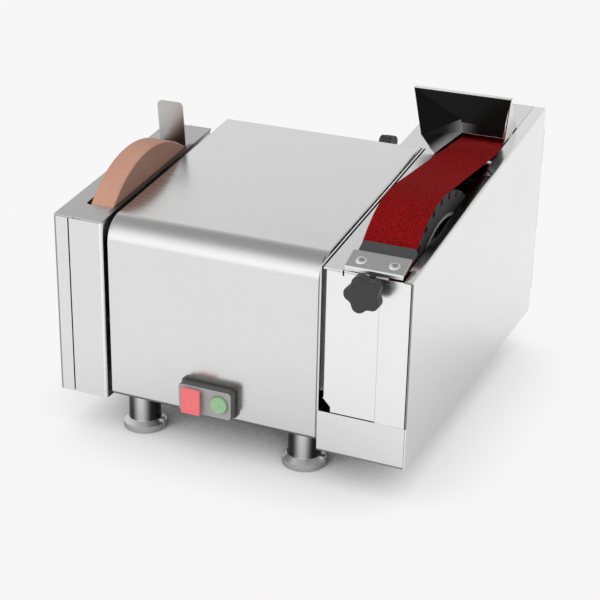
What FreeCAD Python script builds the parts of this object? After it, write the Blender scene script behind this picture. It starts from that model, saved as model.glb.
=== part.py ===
import FreeCAD, Part
import math
import os

# Wet grinding sharpener: a grinding stone in a water tray on the left, a motor under a folded cover in the
# middle and a wet abrasive belt on the right, all on one spindle. Millimetres. While modelling, x = 0 is the
# motor cover's left face, y = 0 the belt housing's front and z = 0 the cover's lower edge. The finished
# pieces are moved so that the origin is the middle of the box's underside.
V = FreeCAD.Vector
X_AXIS = V(1, 0, 0)
Y_AXIS = V(0, 1, 0)
Z_AXIS = V(0, 0, 1)

# Sheet metal and shared fits
SHEET = 1.5
SHEET_BEND = 2.6
SEAM = 0.3
RUN_FIT = 0.05
SLOT_FIT = 0.3
TOP_SLOPE = 7.3

# Motor cover, chassis and rear panel
COVER_WIDTH = 213.8
COVER_FRONT = 5.7
COVER_DEPTH = 246.6
COVER_STEP = 1.2
COVER_BEND = 24.0
COVER_HEM = 10.0
COVER_HEM_BEND = 5.0
COVER_EDGE = 4.0
COVER_EDGE_ROUND = 2.0
COVER_LEFT_ROUND = 0.6
CHASSIS_FLOOR = 3.0
CHASSIS_WALL = 2.0
SHAFT_CLEAR = 4.0
PANEL_TAB = 12.0
PANEL_SCREW_DIA = 4.0
PANEL_SCREW_INSET = 15.0
SCREW_HEAD_DIA = 8.0
SCREW_HEAD = 3.0
VENT_COUNT = 7
VENT_PITCH = 12.0
VENT_WIDTH = 4.0
VENT_HEIGHT = 60.0
VENT_LOW = 60.0
SPACER_DIA = 16.0
SPACER_BOLT = 6.0
SPACER_INSET_FRONT = 34.3
SPACER_INSET_BACK = 52.3
SPACER_ABOVE_TRAY = 21.7
SPACER_BELOW_TOP = 20.2
BOLT_HEAD = 4.0
BOLT_HEAD_DIA = 10.2

# Cable gland
GLAND_DIA = 22.0
GLAND_NECK_DIA = 16.0
GLAND_BORE = 8.0
GLAND_OUT = 14.0
GLAND_IN = 6.0
GLAND_SIDE = 20.5
GLAND_Z = 32.0

# Feet
FOOT_HEIGHT = 42.0
FOOT_DIA = 31.0
FOOT_FLANGE_DIA = 42.0
FOOT_FLANGE = 11.0
FOOT_CHAMFER = 4.5
FOOT_CONE_STEP = 1.0
FOOT_LUG_DIA = 6.0
FOOT_LUG_OUT = 0.8
FOOT_INSET_LEFT = 18.5
FOOT_INSET_RIGHT = 25.3
FOOT_INSET_Y = 30.3
FOOT_BOLT_DIA = 8.0
FOOT_BOLT_DEPTH = 20.0
FOOT_BOLT_HEAD = 5.0
FOOT_BOLT_HEAD_DIA = 12.8

# Spindle and motor
SHAFT_DIA = 20.0
SHAFT_END_DIA = 14.0
SHAFT_SHOW = 2.0
STATOR_DIA = 128.0
STATOR_LENGTH = 100.0
STATOR_BORE = 72.0
FIN_COUNT = 24
FIN_DEPTH = 4.0
FIN_WIDTH = 5.0
SHIELD_WIDTH = 14.0
BEARING_DIA = 42.0
BEARING_WIDTH = 10.0
AIR_GAP = 0.6
ROTOR_LENGTH = 80.0
CRADLE_WIDTH = 70.0
CRADLE_LENGTH = 84.0
CRADLE_THICK = 5.0
CAPACITOR_DIA = 35.0
CAPACITOR_LENGTH = 80.0
CAPACITOR_CLIP = 10.0
CAPACITOR_GAP = 4.0
CAPACITOR_LIFT = 2.0

# Start and stop switch
SWITCH_LEFT = 77.0
SWITCH_WIDTH = 58.0
SWITCH_LOW = 5.8
SWITCH_HEIGHT = 31.8
SWITCH_HOLE_EDGE = 4.0
SWITCH_CORNER = 5.0
SWITCH_FLANGE = 2.5
SWITCH_INSET = 1.7
BEZEL_DEPTH = 11.0
FACE_CORNER = 4.0
FACE_ROUND = 1.6
FACE_THICK = 2.0
BUTTON_TRAVEL = 3.0
BUTTON_PROUD = 2.5
BUTTON_FIT = 0.3
BUTTON_PLUNGER = 8.0
STOP_WIDTH = 19.0
STOP_HEIGHT = 25.0
STOP_SHIFT = 12.0
STOP_CORNER = 1.0
STOP_DISH_DIA = 15.0
STOP_DISH = 0.5
START_DIA = 16.2
START_SHIFT = 15.3
START_RISE = 1.0
BLOCK_DEPTH = 30.0
BLOCK_POST = 1.2

# Stone housing and grinding stone
STONE_GAP = 3.4
STONE_DIA = 212.0
STONE_WIDTH = 24.0
STONE_EDGE = 1.0
STONE_SIDE_ROOM = 26.4
STONE_FRONT_CLEAR = 4.9
STONE_BACK_CLEAR = 3.4
STONE_LOW_CLEAR = 8.7
STONE_SHOW = 41.2
STONE_COVER_RETURN = 14.15
STONE_SEAM = 1.4
STONE_FLANGE_DIA = 60.0
STONE_FLANGE = 2.5
STONE_FLANGE_CLEAR = 0.6
SLOT_MARGIN = 3.0
SLOT_SIDE = 4.5
SLOT_INNER = 1.5
SLOT_CORNER = 4.0
SKIRT = 10.0
TAB_WIDTH = 8.5
TAB_BACK_WIDTH = 5.5
TAB_INSET = 5.55
NUT_ACROSS = 24.0
NUT_THICK = 8.0
TRAY_HEIGHT = 42.0
TRAY_END = 11.0
TRAY_LIFT = 2.0
SPLASH_HEIGHT = 45.0
SPLASH_WIDTH = 28.0
SPLASH_LEAN = 7.0
SPLASH_CORNER = 5.0
SPLASH_TAB = 6.0
SPLASH_OVERHANG = 1.0
SEAL_DIA = 44.0
SEAL_NECK_DIA = 34.0
SEAL_WIDTH = 3.0

# Belt housing
BELT_GAP = 1.0
BELT_OFFSET = 22.5
BELT_SIDE_ROOM = 13.1
BELT_HOUSING_DEPTH = 391.0
BELT_HOUSING_LOW = -5.0
REAR_BOX_GAP = 2.7
REAR_BOX_STEP = 24.3
TANK_HEIGHT = 40.0
TANK_STRIP_IN = 0.7
CORNER_GAP = 0.9
TOP_LEFT = 3.4
FRONT_LEFT = 5.4
FRONT_GAP = 1.2
FRONT_SPLIT = 49.9
FRONT_SPLIT_WIDTH = 0.35
FRONT_SPLIT_DEPTH = 0.4
FRONT_TAB = 14.0
FRONT_ROUND = 2.0
FRONT_NOTCH_WIDTH = 7.7
FRONT_NOTCH_HEIGHT = 13.0
FRONT_NOTCH_SIDE = 5.0
FLANGE_WIDTH = 12.4
FLANGE_FRONT = 20.0
FLANGE_BACK_START = 222.0
FLANGE_CHAMFER = 9.0
FLANGE_CHAMFER_LONG = 11.7
DOOR_RETURN = 3.2
DOOR_ROUND = 2.6
DOOR_RAIL = 11.8
DOOR_RAIL_BACK = 250.0
OPENING_LEFT = 15.2
OPENING_FRONT = 15.0
OPENING_NARROW = 60.0
OPENING_NARROW_CLEAR = 1.0
BELT_EXIT_CLEAR = 25.2
SEAM_SLIT = 0.9
SEAM_SLITS = ((284.0, 300.0), (318.0, 332.0))
DRAIN_DIA = 16.0
DRAIN_INSET = 32.0
DRAIN_HEAD = 5.0
DRAIN_HEAD_DIA = 24.0
DRAIN_SHOW = 2.0
HINGE_RADIUS = 3.0
HINGE_PIN_DIA = 3.0
HINGE_KNUCKLE = 36.0
HINGE_LEAF = 24.0
HINGE_COUNT = 5
LEAF_THICK = 1.5

# Belt, contact wheel, idler and its carriage
BELT_WIDTH = 50.0
BELT_THICK = 1.2
BELT_CLEAR = 0.3
WHEEL_DIA = 206.0
WHEEL_SHOW = 40.5
WHEEL_FRONT_CLEAR = 7.0
WHEEL_LOW_CLEAR = 10.5
WHEEL_SIDE = 0.5
WHEEL_RIM_DIA = 165.0
WHEEL_HUB_DIA = 52.0
WHEEL_WEB = 14.0
WHEEL_RIM = 3.0
WHEEL_RECESS = 18.0
HUB_HOLE_COUNT = 6
HUB_HOLE_DIA = 26.0
TREAD_COUNT = 30
TREAD_DEPTH = 7.5
TREAD_WIDTH = 6.0
TREAD_LEAN = 25.0
IDLER_DIA = 60.0
IDLER_BACK_CLEAR = 14.5
IDLER_TOP_CLEAR = 12.7
IDLER_SIDE = 1.0
IDLER_WALL = 5.0
IDLER_AXLE_DIA = 15.0
IDLER_BEARING_WIDTH = 10.0
AXLE_SHOW = 1.5
CARRIAGE_THICK = 4.0
CARRIAGE_TRAVEL = 8.0
CARRIAGE_EDGE = 12.0
GUIDE_DIA = 8.0
GUIDE_BACK = 18.0
GUIDE_RISE = 22.0
CLIP_DIA = 24.0
CLIP_THICK = 1.6

# Knife rest, its star knob and the tension knob
REST_SHIFT = 0.2
REST_WIDER = 3.0
REST_RISE = 5.2
REST_DEPTH = 20.0
REST_TILT = 20.6
REST_PLATE = 2.0
REST_LIP = 4.2
REST_BEND = 3.0
REST_LEG_WIDTH = 22.0
REST_LEG_LEFT = 7.5
REST_LEG_DROP = 31.0
REST_NOTCH_SIDE = 1.5
REST_NOTCH_LOW = 1.2
REST_SLIT = 1.5
REST_SLIT_HEIGHT = 5.0
REST_PAD_FRONT = 6.0
REST_PAD_OUT = 15.6
REST_PAD_CORNER = 2.5
REST_PAD_THICK = 4.0
REST_PAD_LEFT = 2.8
REST_PAD_RIGHT = 0.7
REST_SCREW_HEAD = 10.0
REST_SCREW_DIA = 5.0
REST_SCREW_SPACING = 30.5
REST_SCREW_BACK = 9.5
REST_KNOB_DROP = 10.0
REST_KNOB_SHIFT = 1.5
STAR_DIA = 34.0
STAR_LOBES = 5
STAR_POINTS = 8
STAR_PHASE = 20.0
STAR_THICK = 12.5
STAR_WAIST = 3.4
STAR_FULLNESS = 1.4
STAR_ROUND = 2.0
STAR_BOSS_DIA = 15.0
STAR_BOSS = 10.5
STUD_DIA = 6.0
STUD_GRIP = 8.0
STUD_SHOW = 2.0
STUD_NUT_ACROSS = 10.0
STUD_NUT_THICK = 5.0
TENSION_PLACE = 4 / 15
TENSION_RISE = 17.0
TENSION_STUD_OUT = 16.0
TENSION_COLLAR = 2.5
TENSION_COLLAR_DIA = 10.0

# Splash hood over the belt
HOOD_RISE = 45.5
HOOD_FOLD = 19.2
HOOD_LOW = 6.0
HOOD_LOW_STEP = 3.0
HOOD_AHEAD = 14.8
HOOD_SHEET = 1.2
HOOD_BRIM = 5.0
HOOD_GUSSET = 42.0
HOOD_WING = 10.5
HOOD_WING_RISE = 11.5
HOOD_WING_REACH = 32.0
HOOD_WING_LEFT = 4.3
HOOD_FOOT_REACH = 44.5

# Places worked out from the driving dimensions
FAR_LENGTH = 600.0
SLOPE = math.tan(math.radians(TOP_SLOPE))
SLOPE_COS = math.cos(math.radians(TOP_SLOPE))
BELT_RADIUS = WHEEL_DIA / 2 + BELT_CLEAR + BELT_THICK
AXIS_Y = SHEET + WHEEL_FRONT_CLEAR + BELT_RADIUS
AXIS_Z = BELT_HOUSING_LOW + SHEET + WHEEL_LOW_CLEAR + BELT_RADIUS
BELT_HOUSING_TOP = AXIS_Z + WHEEL_DIA / 2 - WHEEL_SHOW
COVER_TOP = BELT_HOUSING_TOP + COVER_STEP
COVER_BACK = COVER_FRONT + COVER_DEPTH
MOTOR_MIDDLE = COVER_WIDTH / 2
SHAFT_HOLE = SHAFT_DIA + 2 * SHAFT_CLEAR
STONE_HOUSING_WIDTH = STONE_WIDTH + STONE_SIDE_ROOM
STONE_RIGHT = -STONE_GAP
STONE_LEFT = STONE_RIGHT - STONE_HOUSING_WIDTH
STONE_HOUSING_FRONT = AXIS_Y - STONE_DIA / 2 - STONE_FRONT_CLEAR
STONE_BACK = AXIS_Y + STONE_DIA / 2 + STONE_BACK_CLEAR
STONE_HOUSING_LOW = AXIS_Z - STONE_DIA / 2 - STONE_LOW_CLEAR
STONE_HOUSING_TOP = AXIS_Z + STONE_DIA / 2 - STONE_SHOW
BELT_LEFT = COVER_WIDTH + BELT_GAP
BELT_RIGHT = BELT_LEFT + BELT_OFFSET + BELT_WIDTH + BELT_SIDE_ROOM
BELT_X = BELT_LEFT + BELT_OFFSET
BOX_LEFT = BELT_LEFT - REAR_BOX_STEP
REAR_BOX_FRONT = COVER_BACK + REAR_BOX_GAP
DOOR_INSIDE = BELT_RIGHT - SHEET
HINGE_X = BELT_RIGHT - HINGE_RADIUS
HINGE_Y = BELT_HOUSING_DEPTH + HINGE_RADIUS + SEAM
TANK_TOP = BELT_HOUSING_LOW + TANK_HEIGHT
IDLER_Y = BELT_HOUSING_DEPTH - SHEET - IDLER_BACK_CLEAR - IDLER_DIA / 2
IDLER_Z = BELT_HOUSING_TOP + IDLER_Y * SLOPE - SHEET - IDLER_TOP_CLEAR - IDLER_DIA / 2
GUIDE_Y = IDLER_Y + GUIDE_BACK
GUIDE_Z = IDLER_Z + GUIDE_RISE
TENSION_Y = REAR_BOX_FRONT + (IDLER_Y - REAR_BOX_FRONT) * TENSION_PLACE
TENSION_Z = IDLER_Z + TENSION_RISE
REST_LEFT = BELT_X + REST_SHIFT
REST_RIGHT = REST_LEFT + BELT_WIDTH + REST_WIDER
REST_KNOB_X = (REST_LEFT + REST_RIGHT) / 2 - REST_KNOB_SHIFT
REST_KNOB_Z = BELT_HOUSING_TOP - REST_KNOB_DROP
KNOB_FRONT = -(SEAM + STAR_BOSS + STAR_THICK)
SPACER_PLACES_Y = (COVER_FRONT + SPACER_INSET_FRONT, COVER_BACK - SPACER_INSET_BACK)
SPACER_PLACES_Z = (STONE_HOUSING_LOW + SHEET + TRAY_HEIGHT + SPACER_ABOVE_TRAY, COVER_TOP - SPACER_BELOW_TOP)
GLAND_X = BOX_LEFT - GLAND_SIDE

# The belt's straight upper run leans down to the idler and passes under the top plate behind the opening.
RUN_LENGTH = math.hypot(IDLER_Y - AXIS_Y, IDLER_Z - AXIS_Z)
RUN_ANGLE = math.atan2(IDLER_Z - AXIS_Z, IDLER_Y - AXIS_Y)
BELT_UP = RUN_ANGLE + math.acos((WHEEL_DIA - IDLER_DIA) / 2 / RUN_LENGTH)
PLATE_UNDER = BELT_HOUSING_TOP - SHEET / SLOPE_COS
BELT_EXIT = BELT_RADIUS + math.cos(BELT_UP) * AXIS_Y + math.sin(BELT_UP) * (AXIS_Z - PLATE_UNDER)
OPENING_BACK = BELT_EXIT / (math.cos(BELT_UP) + math.sin(BELT_UP) * SLOPE) + BELT_EXIT_CLEAR

pieces = {}


def box(x0, x1, y0, y1, z0, z1):
    return Part.makeBox(x1 - x0, y1 - y0, z1 - z0, V(x0, y0, z0))


def rod(start, axis, length, dia):
    return Part.makeCylinder(dia / 2, length, start, axis)


def ring(start, axis, length, outer, inner):
    return rod(start, axis, length, outer).cut(rod(start, axis, length, inner))


def prism(points, travel):
    return Part.Face(Part.makePolygon(points + points[:1])).extrude(travel)


def side_prism(points, x0, x1):
    """A solid from an outline of (y, z) points, between two x places."""
    return prism([V(x0, y, z) for y, z in points], V(x1 - x0, 0, 0))


def hexagon(centre, axis, across, thick):
    """A hexagonal nut blank along X or Y."""
    radius = across / math.sqrt(3)
    points = []
    for corner in range(6):
        turn = math.radians(60 * corner)
        a = radius * math.cos(turn)
        b = radius * math.sin(turn)
        points.append(centre + (V(0, a, b) if axis == X_AXIS else V(a, 0, b)))
    return prism(points, axis * thick)


def join(shapes):
    return shapes[0].fuse(shapes[1:]).removeSplitter()


def group(shapes):
    return Part.makeCompound(shapes)


def upright_edges(shape):
    """The straight edges of a shape that stand along Z."""
    return [edge for edge in shape.Edges if max(edge.BoundBox.XLength, edge.BoundBox.YLength) < SEAM]


def edges_along_y(shape):
    """The straight edges of a shape that run from front to back."""
    return [edge for edge in shape.Edges if max(edge.BoundBox.XLength, edge.BoundBox.ZLength) < SEAM]


def top_at(base, y):
    return base + y * SLOPE


def sloped_plate(base, x0, x1, y0, y1):
    """A sheet lying in a housing's sloping top."""
    thick = SHEET / SLOPE_COS
    a = top_at(base, y0)
    b = top_at(base, y1)
    return side_prism([(y0, a - thick), (y1, b - thick), (y1, b), (y0, a)], x0, x1)


def wall_outline(base, y0, y1, low):
    """The (y, z) outline of a side wall that ends under a sloping top."""
    drop = SHEET / SLOPE_COS + SEAM
    return [(y0, low), (y1, low), (y1, top_at(base, y1) - drop), (y0, top_at(base, y0) - drop)]


# Motor cover: one sheet folded from a hem under the front over a wide bend into the sloping top; its two
# ends turn down round a soft edge.
def cover_profile(inset):
    """Edges of the folded line, inset from the outside, with the bend as an arc."""
    turn = math.radians(TOP_SLOPE)
    middle_y = COVER_FRONT + COVER_BEND
    middle_z = top_at(COVER_TOP, middle_y) - COVER_BEND / SLOPE_COS
    radius = COVER_BEND - inset
    half = math.radians((270 + TOP_SLOPE) / 2)
    front_end = V(0, middle_y - radius, middle_z)
    bend = V(0, middle_y + radius * math.cos(half), middle_z + radius * math.sin(half))
    top_start = V(0, middle_y - radius * math.sin(turn), middle_z + radius * math.cos(turn))
    top_end = V(0, COVER_BACK, top_at(COVER_TOP, COVER_BACK) - inset / SLOPE_COS)
    return front_end, bend, top_start, top_end


def cover_region(inset):
    """The face inside the folded line, closed along the hem's level."""
    front_end, bend, top_start, top_end = cover_profile(inset)
    hem_y = COVER_FRONT + COVER_HEM_BEND
    hem_radius = COVER_HEM_BEND - inset
    half = math.radians(45)
    hem = V(0, hem_y, inset)
    hem_bend = V(0, hem_y - hem_radius * math.cos(half), COVER_HEM_BEND - hem_radius * math.sin(half))
    front_low = V(0, hem_y - hem_radius, COVER_HEM_BEND)
    back = V(0, top_end.y, inset)
    edges = [
        Part.Arc(hem, hem_bend, front_low).toShape(),
        Part.LineSegment(front_low, front_end).toShape(),
        Part.Arc(front_end, bend, top_start).toShape(),
        Part.LineSegment(top_start, top_end).toShape(),
        Part.LineSegment(top_end, back).toShape(),
        Part.LineSegment(back, hem).toShape(),
    ]
    return Part.Face(Part.Wire(edges))


switch_x = SWITCH_LEFT + SWITCH_WIDTH / 2
switch_z = SWITCH_LOW + SWITCH_HEIGHT / 2
switch_hole = [
    SWITCH_LEFT + SWITCH_HOLE_EDGE,
    SWITCH_LEFT + SWITCH_WIDTH - SWITCH_HOLE_EDGE,
    SWITCH_LOW + SWITCH_HOLE_EDGE,
    SWITCH_LOW + SWITCH_HEIGHT - SWITCH_HOLE_EDGE,
]
cover_solid = cover_region(0).extrude(V(COVER_WIDTH, 0, 0))
end_edges = [edge for edge in cover_solid.Edges
             if edge.BoundBox.XLength < SEAM and edge.BoundBox.YMin < COVER_BACK - SEAM
             and edge.BoundBox.ZMax > SEAM]
left_edges = [edge for edge in end_edges if edge.CenterOfMass.x < SEAM]
cover_hollow = cover_region(SHEET).extrude(V(COVER_WIDTH - 2 * SHEET, 0, 0))
cover_hollow.translate(V(SHEET, 0, 0))
cover_inside = cover_region(COVER_EDGE).extrude(V(COVER_WIDTH, 0, 0))
under_hem = box(0, COVER_WIDTH, COVER_FRONT + COVER_HEM, COVER_BACK, 0, COVER_EDGE)
cover_hole = box(switch_hole[0], switch_hole[1], COVER_FRONT, COVER_FRONT + SHEET,
                 switch_hole[2], switch_hole[3])
cover_solid = cover_solid.makeFillet(COVER_LEFT_ROUND, left_edges)
right_edges = [edge for edge in cover_solid.Edges
               if edge.BoundBox.XLength < SEAM and edge.BoundBox.YMin < COVER_BACK - SEAM
               and edge.BoundBox.ZMax > SEAM and edge.CenterOfMass.x > COVER_WIDTH - SEAM]
pieces["motor_cover"] = cover_solid.makeFillet(COVER_EDGE_ROUND, right_edges).cut(
    [cover_hollow, cover_inside, under_hem, cover_hole])

# Chassis: a floor with two upright ends that carry the cover and both housings.
under_cover = SHEET + SEAM
left_inside = under_cover + CHASSIS_WALL
right_inside = COVER_WIDTH - left_inside
left_end = cover_region(under_cover).extrude(V(CHASSIS_WALL, 0, 0))
left_end.translate(V(under_cover, 0, 0))
right_end = left_end.copy()
right_end.translate(V(right_inside - under_cover, 0, 0))
floor_front = COVER_FRONT + COVER_HEM + SEAM
floor = box(under_cover, COVER_WIDTH - under_cover, floor_front, COVER_BACK, 0, CHASSIS_FLOOR)
shaft_hole = rod(V(-FAR_LENGTH, AXIS_Y, AXIS_Z), X_AXIS, 2 * FAR_LENGTH, SHAFT_HOLE)
foot_spots = []
for foot_x in (FOOT_INSET_LEFT, COVER_WIDTH - FOOT_INSET_RIGHT):
    for foot_y in (COVER_FRONT + FOOT_INSET_Y, COVER_BACK - FOOT_INSET_Y):
        foot_spots.append(V(foot_x, foot_y, 0))
spacer_spots = [(y, z) for y in SPACER_PLACES_Y for z in SPACER_PLACES_Z]
spacer_holes = [rod(V(-FAR_LENGTH, y, z), X_AXIS, 2 * FAR_LENGTH, SPACER_BOLT) for y, z in spacer_spots]
foot_holes = [rod(spot, Z_AXIS, CHASSIS_FLOOR, FOOT_BOLT_DIA) for spot in foot_spots]
pieces["chassis"] = join([floor, left_end, right_end]).cut([shaft_hole] + spacer_holes + foot_holes)

# Rear panel: vented sheet between the chassis ends, with the cable gland low on one side.
panel_left = left_inside + SEAM
panel_right = right_inside - SEAM
panel_low = CHASSIS_FLOOR + SEAM
panel_top = top_at(COVER_TOP, COVER_BACK - SHEET) - under_cover / SLOPE_COS - SEAM
panel = box(panel_left, panel_right, COVER_BACK - SHEET, COVER_BACK, panel_low, panel_top)
panel_foot = box(panel_left, panel_right, COVER_BACK - PANEL_TAB, COVER_BACK,
                 CHASSIS_FLOOR, CHASSIS_FLOOR + SHEET)
vents = []
for vent in range(VENT_COUNT):
    vent_x = MOTOR_MIDDLE + (vent - (VENT_COUNT - 1) / 2) * VENT_PITCH - VENT_WIDTH / 2
    vents.append(box(vent_x, vent_x + VENT_WIDTH, COVER_BACK - SHEET, COVER_BACK,
                     VENT_LOW, VENT_LOW + VENT_HEIGHT))
gland_neck = rod(V(GLAND_X, COVER_BACK - SHEET, GLAND_Z), Y_AXIS, SHEET, GLAND_NECK_DIA)
panel_screw_shanks = []
panel_screws = []
for x in (panel_left + PANEL_SCREW_INSET, panel_right - PANEL_SCREW_INSET):
    y = COVER_BACK - PANEL_TAB / 2
    shank = rod(V(x, y, 0), Z_AXIS, CHASSIS_FLOOR + SHEET, PANEL_SCREW_DIA)
    head = rod(V(x, y, CHASSIS_FLOOR + SHEET), Z_AXIS, SCREW_HEAD, SCREW_HEAD_DIA)
    panel_screw_shanks.append(shank)
    panel_screws.append(join([shank, head]))
pieces["rear_panel"] = join([panel, panel_foot]).cut(vents + [gland_neck] + panel_screw_shanks)
pieces["chassis"] = pieces["chassis"].cut(panel_screw_shanks)
pieces["rear_panel_screws"] = group(panel_screws)
gland_start = V(GLAND_X, COVER_BACK - SHEET - GLAND_IN, GLAND_Z)
gland_body = join([
    rod(gland_start, Y_AXIS, GLAND_IN, GLAND_DIA),
    gland_neck,
    rod(V(GLAND_X, COVER_BACK, GLAND_Z), Y_AXIS, GLAND_OUT, GLAND_DIA),
])
gland_bore = rod(gland_start, Y_AXIS, GLAND_IN + SHEET + GLAND_OUT, GLAND_BORE)
pieces["cable_gland"] = gland_body.cut(gland_bore)

# Feet: polished tubes on broad chamfered flanges, each held by a bolt through the chassis floor.
tubes = []
flanges = []
bolts = []
for spot in foot_spots:
    sole = V(spot.x, spot.y, -FOOT_HEIGHT)
    core = rod(sole + V(0, 0, FOOT_FLANGE), Z_AXIS, FOOT_HEIGHT - FOOT_FLANGE, FOOT_DIA)
    bolt_hole = rod(V(spot.x, spot.y, -FOOT_BOLT_DEPTH), Z_AXIS, FOOT_BOLT_DEPTH, FOOT_BOLT_DIA)
    tubes.append(core.cut(bolt_hole))
    band = rod(sole, Z_AXIS, FOOT_FLANGE - FOOT_CHAMFER, FOOT_FLANGE_DIA)
    cone = Part.makeCone(FOOT_FLANGE_DIA / 2, FOOT_DIA / 2 + FOOT_CONE_STEP, FOOT_CHAMFER,
                         sole + V(0, 0, FOOT_FLANGE - FOOT_CHAMFER))
    lug_x = FOOT_FLANGE_DIA / 2 - FOOT_LUG_DIA / 2 + FOOT_LUG_OUT
    lug = rod(sole + V(lug_x, 0, 0), Z_AXIS, FOOT_FLANGE, FOOT_LUG_DIA)
    flanges.append(join([band, cone, lug]))
    shank = rod(V(spot.x, spot.y, -FOOT_BOLT_DEPTH), Z_AXIS, FOOT_BOLT_DEPTH + CHASSIS_FLOOR, FOOT_BOLT_DIA)
    head = rod(V(spot.x, spot.y, CHASSIS_FLOOR), Z_AXIS, FOOT_BOLT_HEAD, FOOT_BOLT_HEAD_DIA)
    bolts.append(join([shank, head]))
pieces["foot_tubes"] = group(tubes)
pieces["foot_flanges"] = group(flanges)
pieces["foot_bolts"] = group(bolts)

# Motor: finned stator on a cradle, two end shields with ball bearings, and its capacitor.
def on_axis(x, length, dia):
    return rod(V(x, AXIS_Y, AXIS_Z), X_AXIS, length, dia)


stator_left = MOTOR_MIDDLE - STATOR_LENGTH / 2
stator_right = stator_left + STATOR_LENGTH
stator = on_axis(stator_left, STATOR_LENGTH, STATOR_DIA).cut(on_axis(stator_left, STATOR_LENGTH, STATOR_BORE))
fin_gaps = []
for fin in range(FIN_COUNT):
    gap = box(stator_left, stator_right, AXIS_Y - FIN_WIDTH / 2, AXIS_Y + FIN_WIDTH / 2,
              AXIS_Z + STATOR_DIA / 2 - FIN_DEPTH, AXIS_Z + STATOR_DIA / 2 + FIN_DEPTH)
    gap.rotate(V(0, AXIS_Y, AXIS_Z), X_AXIS, 360 * (fin + 0.5) / FIN_COUNT)
    fin_gaps.append(gap)
pieces["motor_stator"] = stator.cut(fin_gaps)
shields = []
bearings = []
for shield_x, bearing_x in ((stator_left - SHIELD_WIDTH, stator_left - SHIELD_WIDTH / 2 - BEARING_WIDTH / 2),
                            (stator_right, stator_right + SHIELD_WIDTH / 2 - BEARING_WIDTH / 2)):
    disc = on_axis(shield_x, SHIELD_WIDTH, STATOR_DIA - 2 * FIN_DEPTH)
    seat = on_axis(bearing_x, BEARING_WIDTH, BEARING_DIA)
    shields.append(disc.cut([seat, on_axis(shield_x, SHIELD_WIDTH, SHAFT_HOLE)]))
    bearings.append(seat.cut(on_axis(bearing_x, BEARING_WIDTH, SHAFT_DIA + 2 * RUN_FIT)))
pieces["motor_end_shields"] = group(shields)
pieces["motor_bearings"] = group(bearings)
cradle_y = AXIS_Y - CRADLE_WIDTH / 2
cradle_x = MOTOR_MIDDLE - CRADLE_LENGTH / 2
cradle_high = AXIS_Z - STATOR_DIA / 2 + CRADLE_THICK * 3
cradle_base = box(cradle_x, cradle_x + CRADLE_LENGTH, cradle_y, cradle_y + CRADLE_WIDTH,
                  CHASSIS_FLOOR, CHASSIS_FLOOR + CRADLE_THICK)
cradle_ribs = []
for rib_y in (cradle_y + CRADLE_THICK, cradle_y + CRADLE_WIDTH - 2 * CRADLE_THICK):
    cradle_ribs.append(box(cradle_x, cradle_x + CRADLE_LENGTH, rib_y, rib_y + CRADLE_THICK,
                           CHASSIS_FLOOR, cradle_high))
cradle = join([cradle_base] + cradle_ribs)
pieces["motor_cradle"] = cradle.cut(on_axis(stator_left, STATOR_LENGTH, STATOR_DIA))
capacitor_y = AXIS_Y + STATOR_DIA / 2 + CAPACITOR_DIA / 2 + CAPACITOR_GAP
capacitor_x = MOTOR_MIDDLE - CAPACITOR_LENGTH / 2
can = rod(V(capacitor_x, capacitor_y, CHASSIS_FLOOR + CAPACITOR_DIA / 2 + CAPACITOR_LIFT),
          X_AXIS, CAPACITOR_LENGTH, CAPACITOR_DIA)
saddle = box(capacitor_x + CAPACITOR_CLIP, capacitor_x + CAPACITOR_LENGTH - CAPACITOR_CLIP,
             capacitor_y - CAPACITOR_DIA / 4, capacitor_y + CAPACITOR_DIA / 4,
             CHASSIS_FLOOR, CHASSIS_FLOOR + CAPACITOR_DIA / 3)
pieces["motor_capacitor"] = join([can, saddle])

# Start and stop switch: dark housing on the cover, grey face plate, and the contact block behind.
def soft_box(x0, x1, y0, y1, z0, z1, corner):
    """A box with its four edges along Y rounded."""
    block = box(x0, x1, y0, y1, z0, z1)
    return block.makeFillet(corner, edges_along_y(block))


bezel_front = COVER_FRONT - BEZEL_DEPTH
face_front = bezel_front - FACE_THICK
flange_front = COVER_FRONT - SWITCH_FLANGE
body = [SWITCH_LEFT + SWITCH_INSET, SWITCH_LEFT + SWITCH_WIDTH - SWITCH_INSET,
        SWITCH_LOW + SWITCH_INSET, SWITCH_LOW + SWITCH_HEIGHT - SWITCH_INSET]
bezel = join([
    soft_box(SWITCH_LEFT, SWITCH_LEFT + SWITCH_WIDTH, flange_front, COVER_FRONT,
             SWITCH_LOW, SWITCH_LOW + SWITCH_HEIGHT, SWITCH_CORNER),
    soft_box(body[0], body[1], bezel_front, flange_front, body[2], body[3], FACE_CORNER),
])
well = box(switch_hole[0], switch_hole[1], bezel_front, COVER_FRONT, switch_hole[2], switch_hole[3])
pieces["switch_housing"] = bezel.cut(well)
stop_x = switch_x - STOP_SHIFT
start_x = switch_x + START_SHIFT
start_z = switch_z + START_RISE
face = soft_box(body[0], body[1], face_front, bezel_front, body[2], body[3], FACE_CORNER)
face_rim = [edge for edge in face.Edges if edge.BoundBox.YMax < face_front + SEAM]
face = face.makeFillet(FACE_ROUND, face_rim)
plunger_hole_stop = rod(V(stop_x, face_front, switch_z), Y_AXIS, FACE_THICK, BUTTON_PLUNGER + 2 * BUTTON_FIT)
start_hole = rod(V(start_x, face_front, start_z), Y_AXIS, FACE_THICK, START_DIA + 2 * BUTTON_FIT)
pieces["switch_face"] = face.cut([plunger_hole_stop, start_hole])
block_front = COVER_FRONT + BUTTON_TRAVEL
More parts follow.
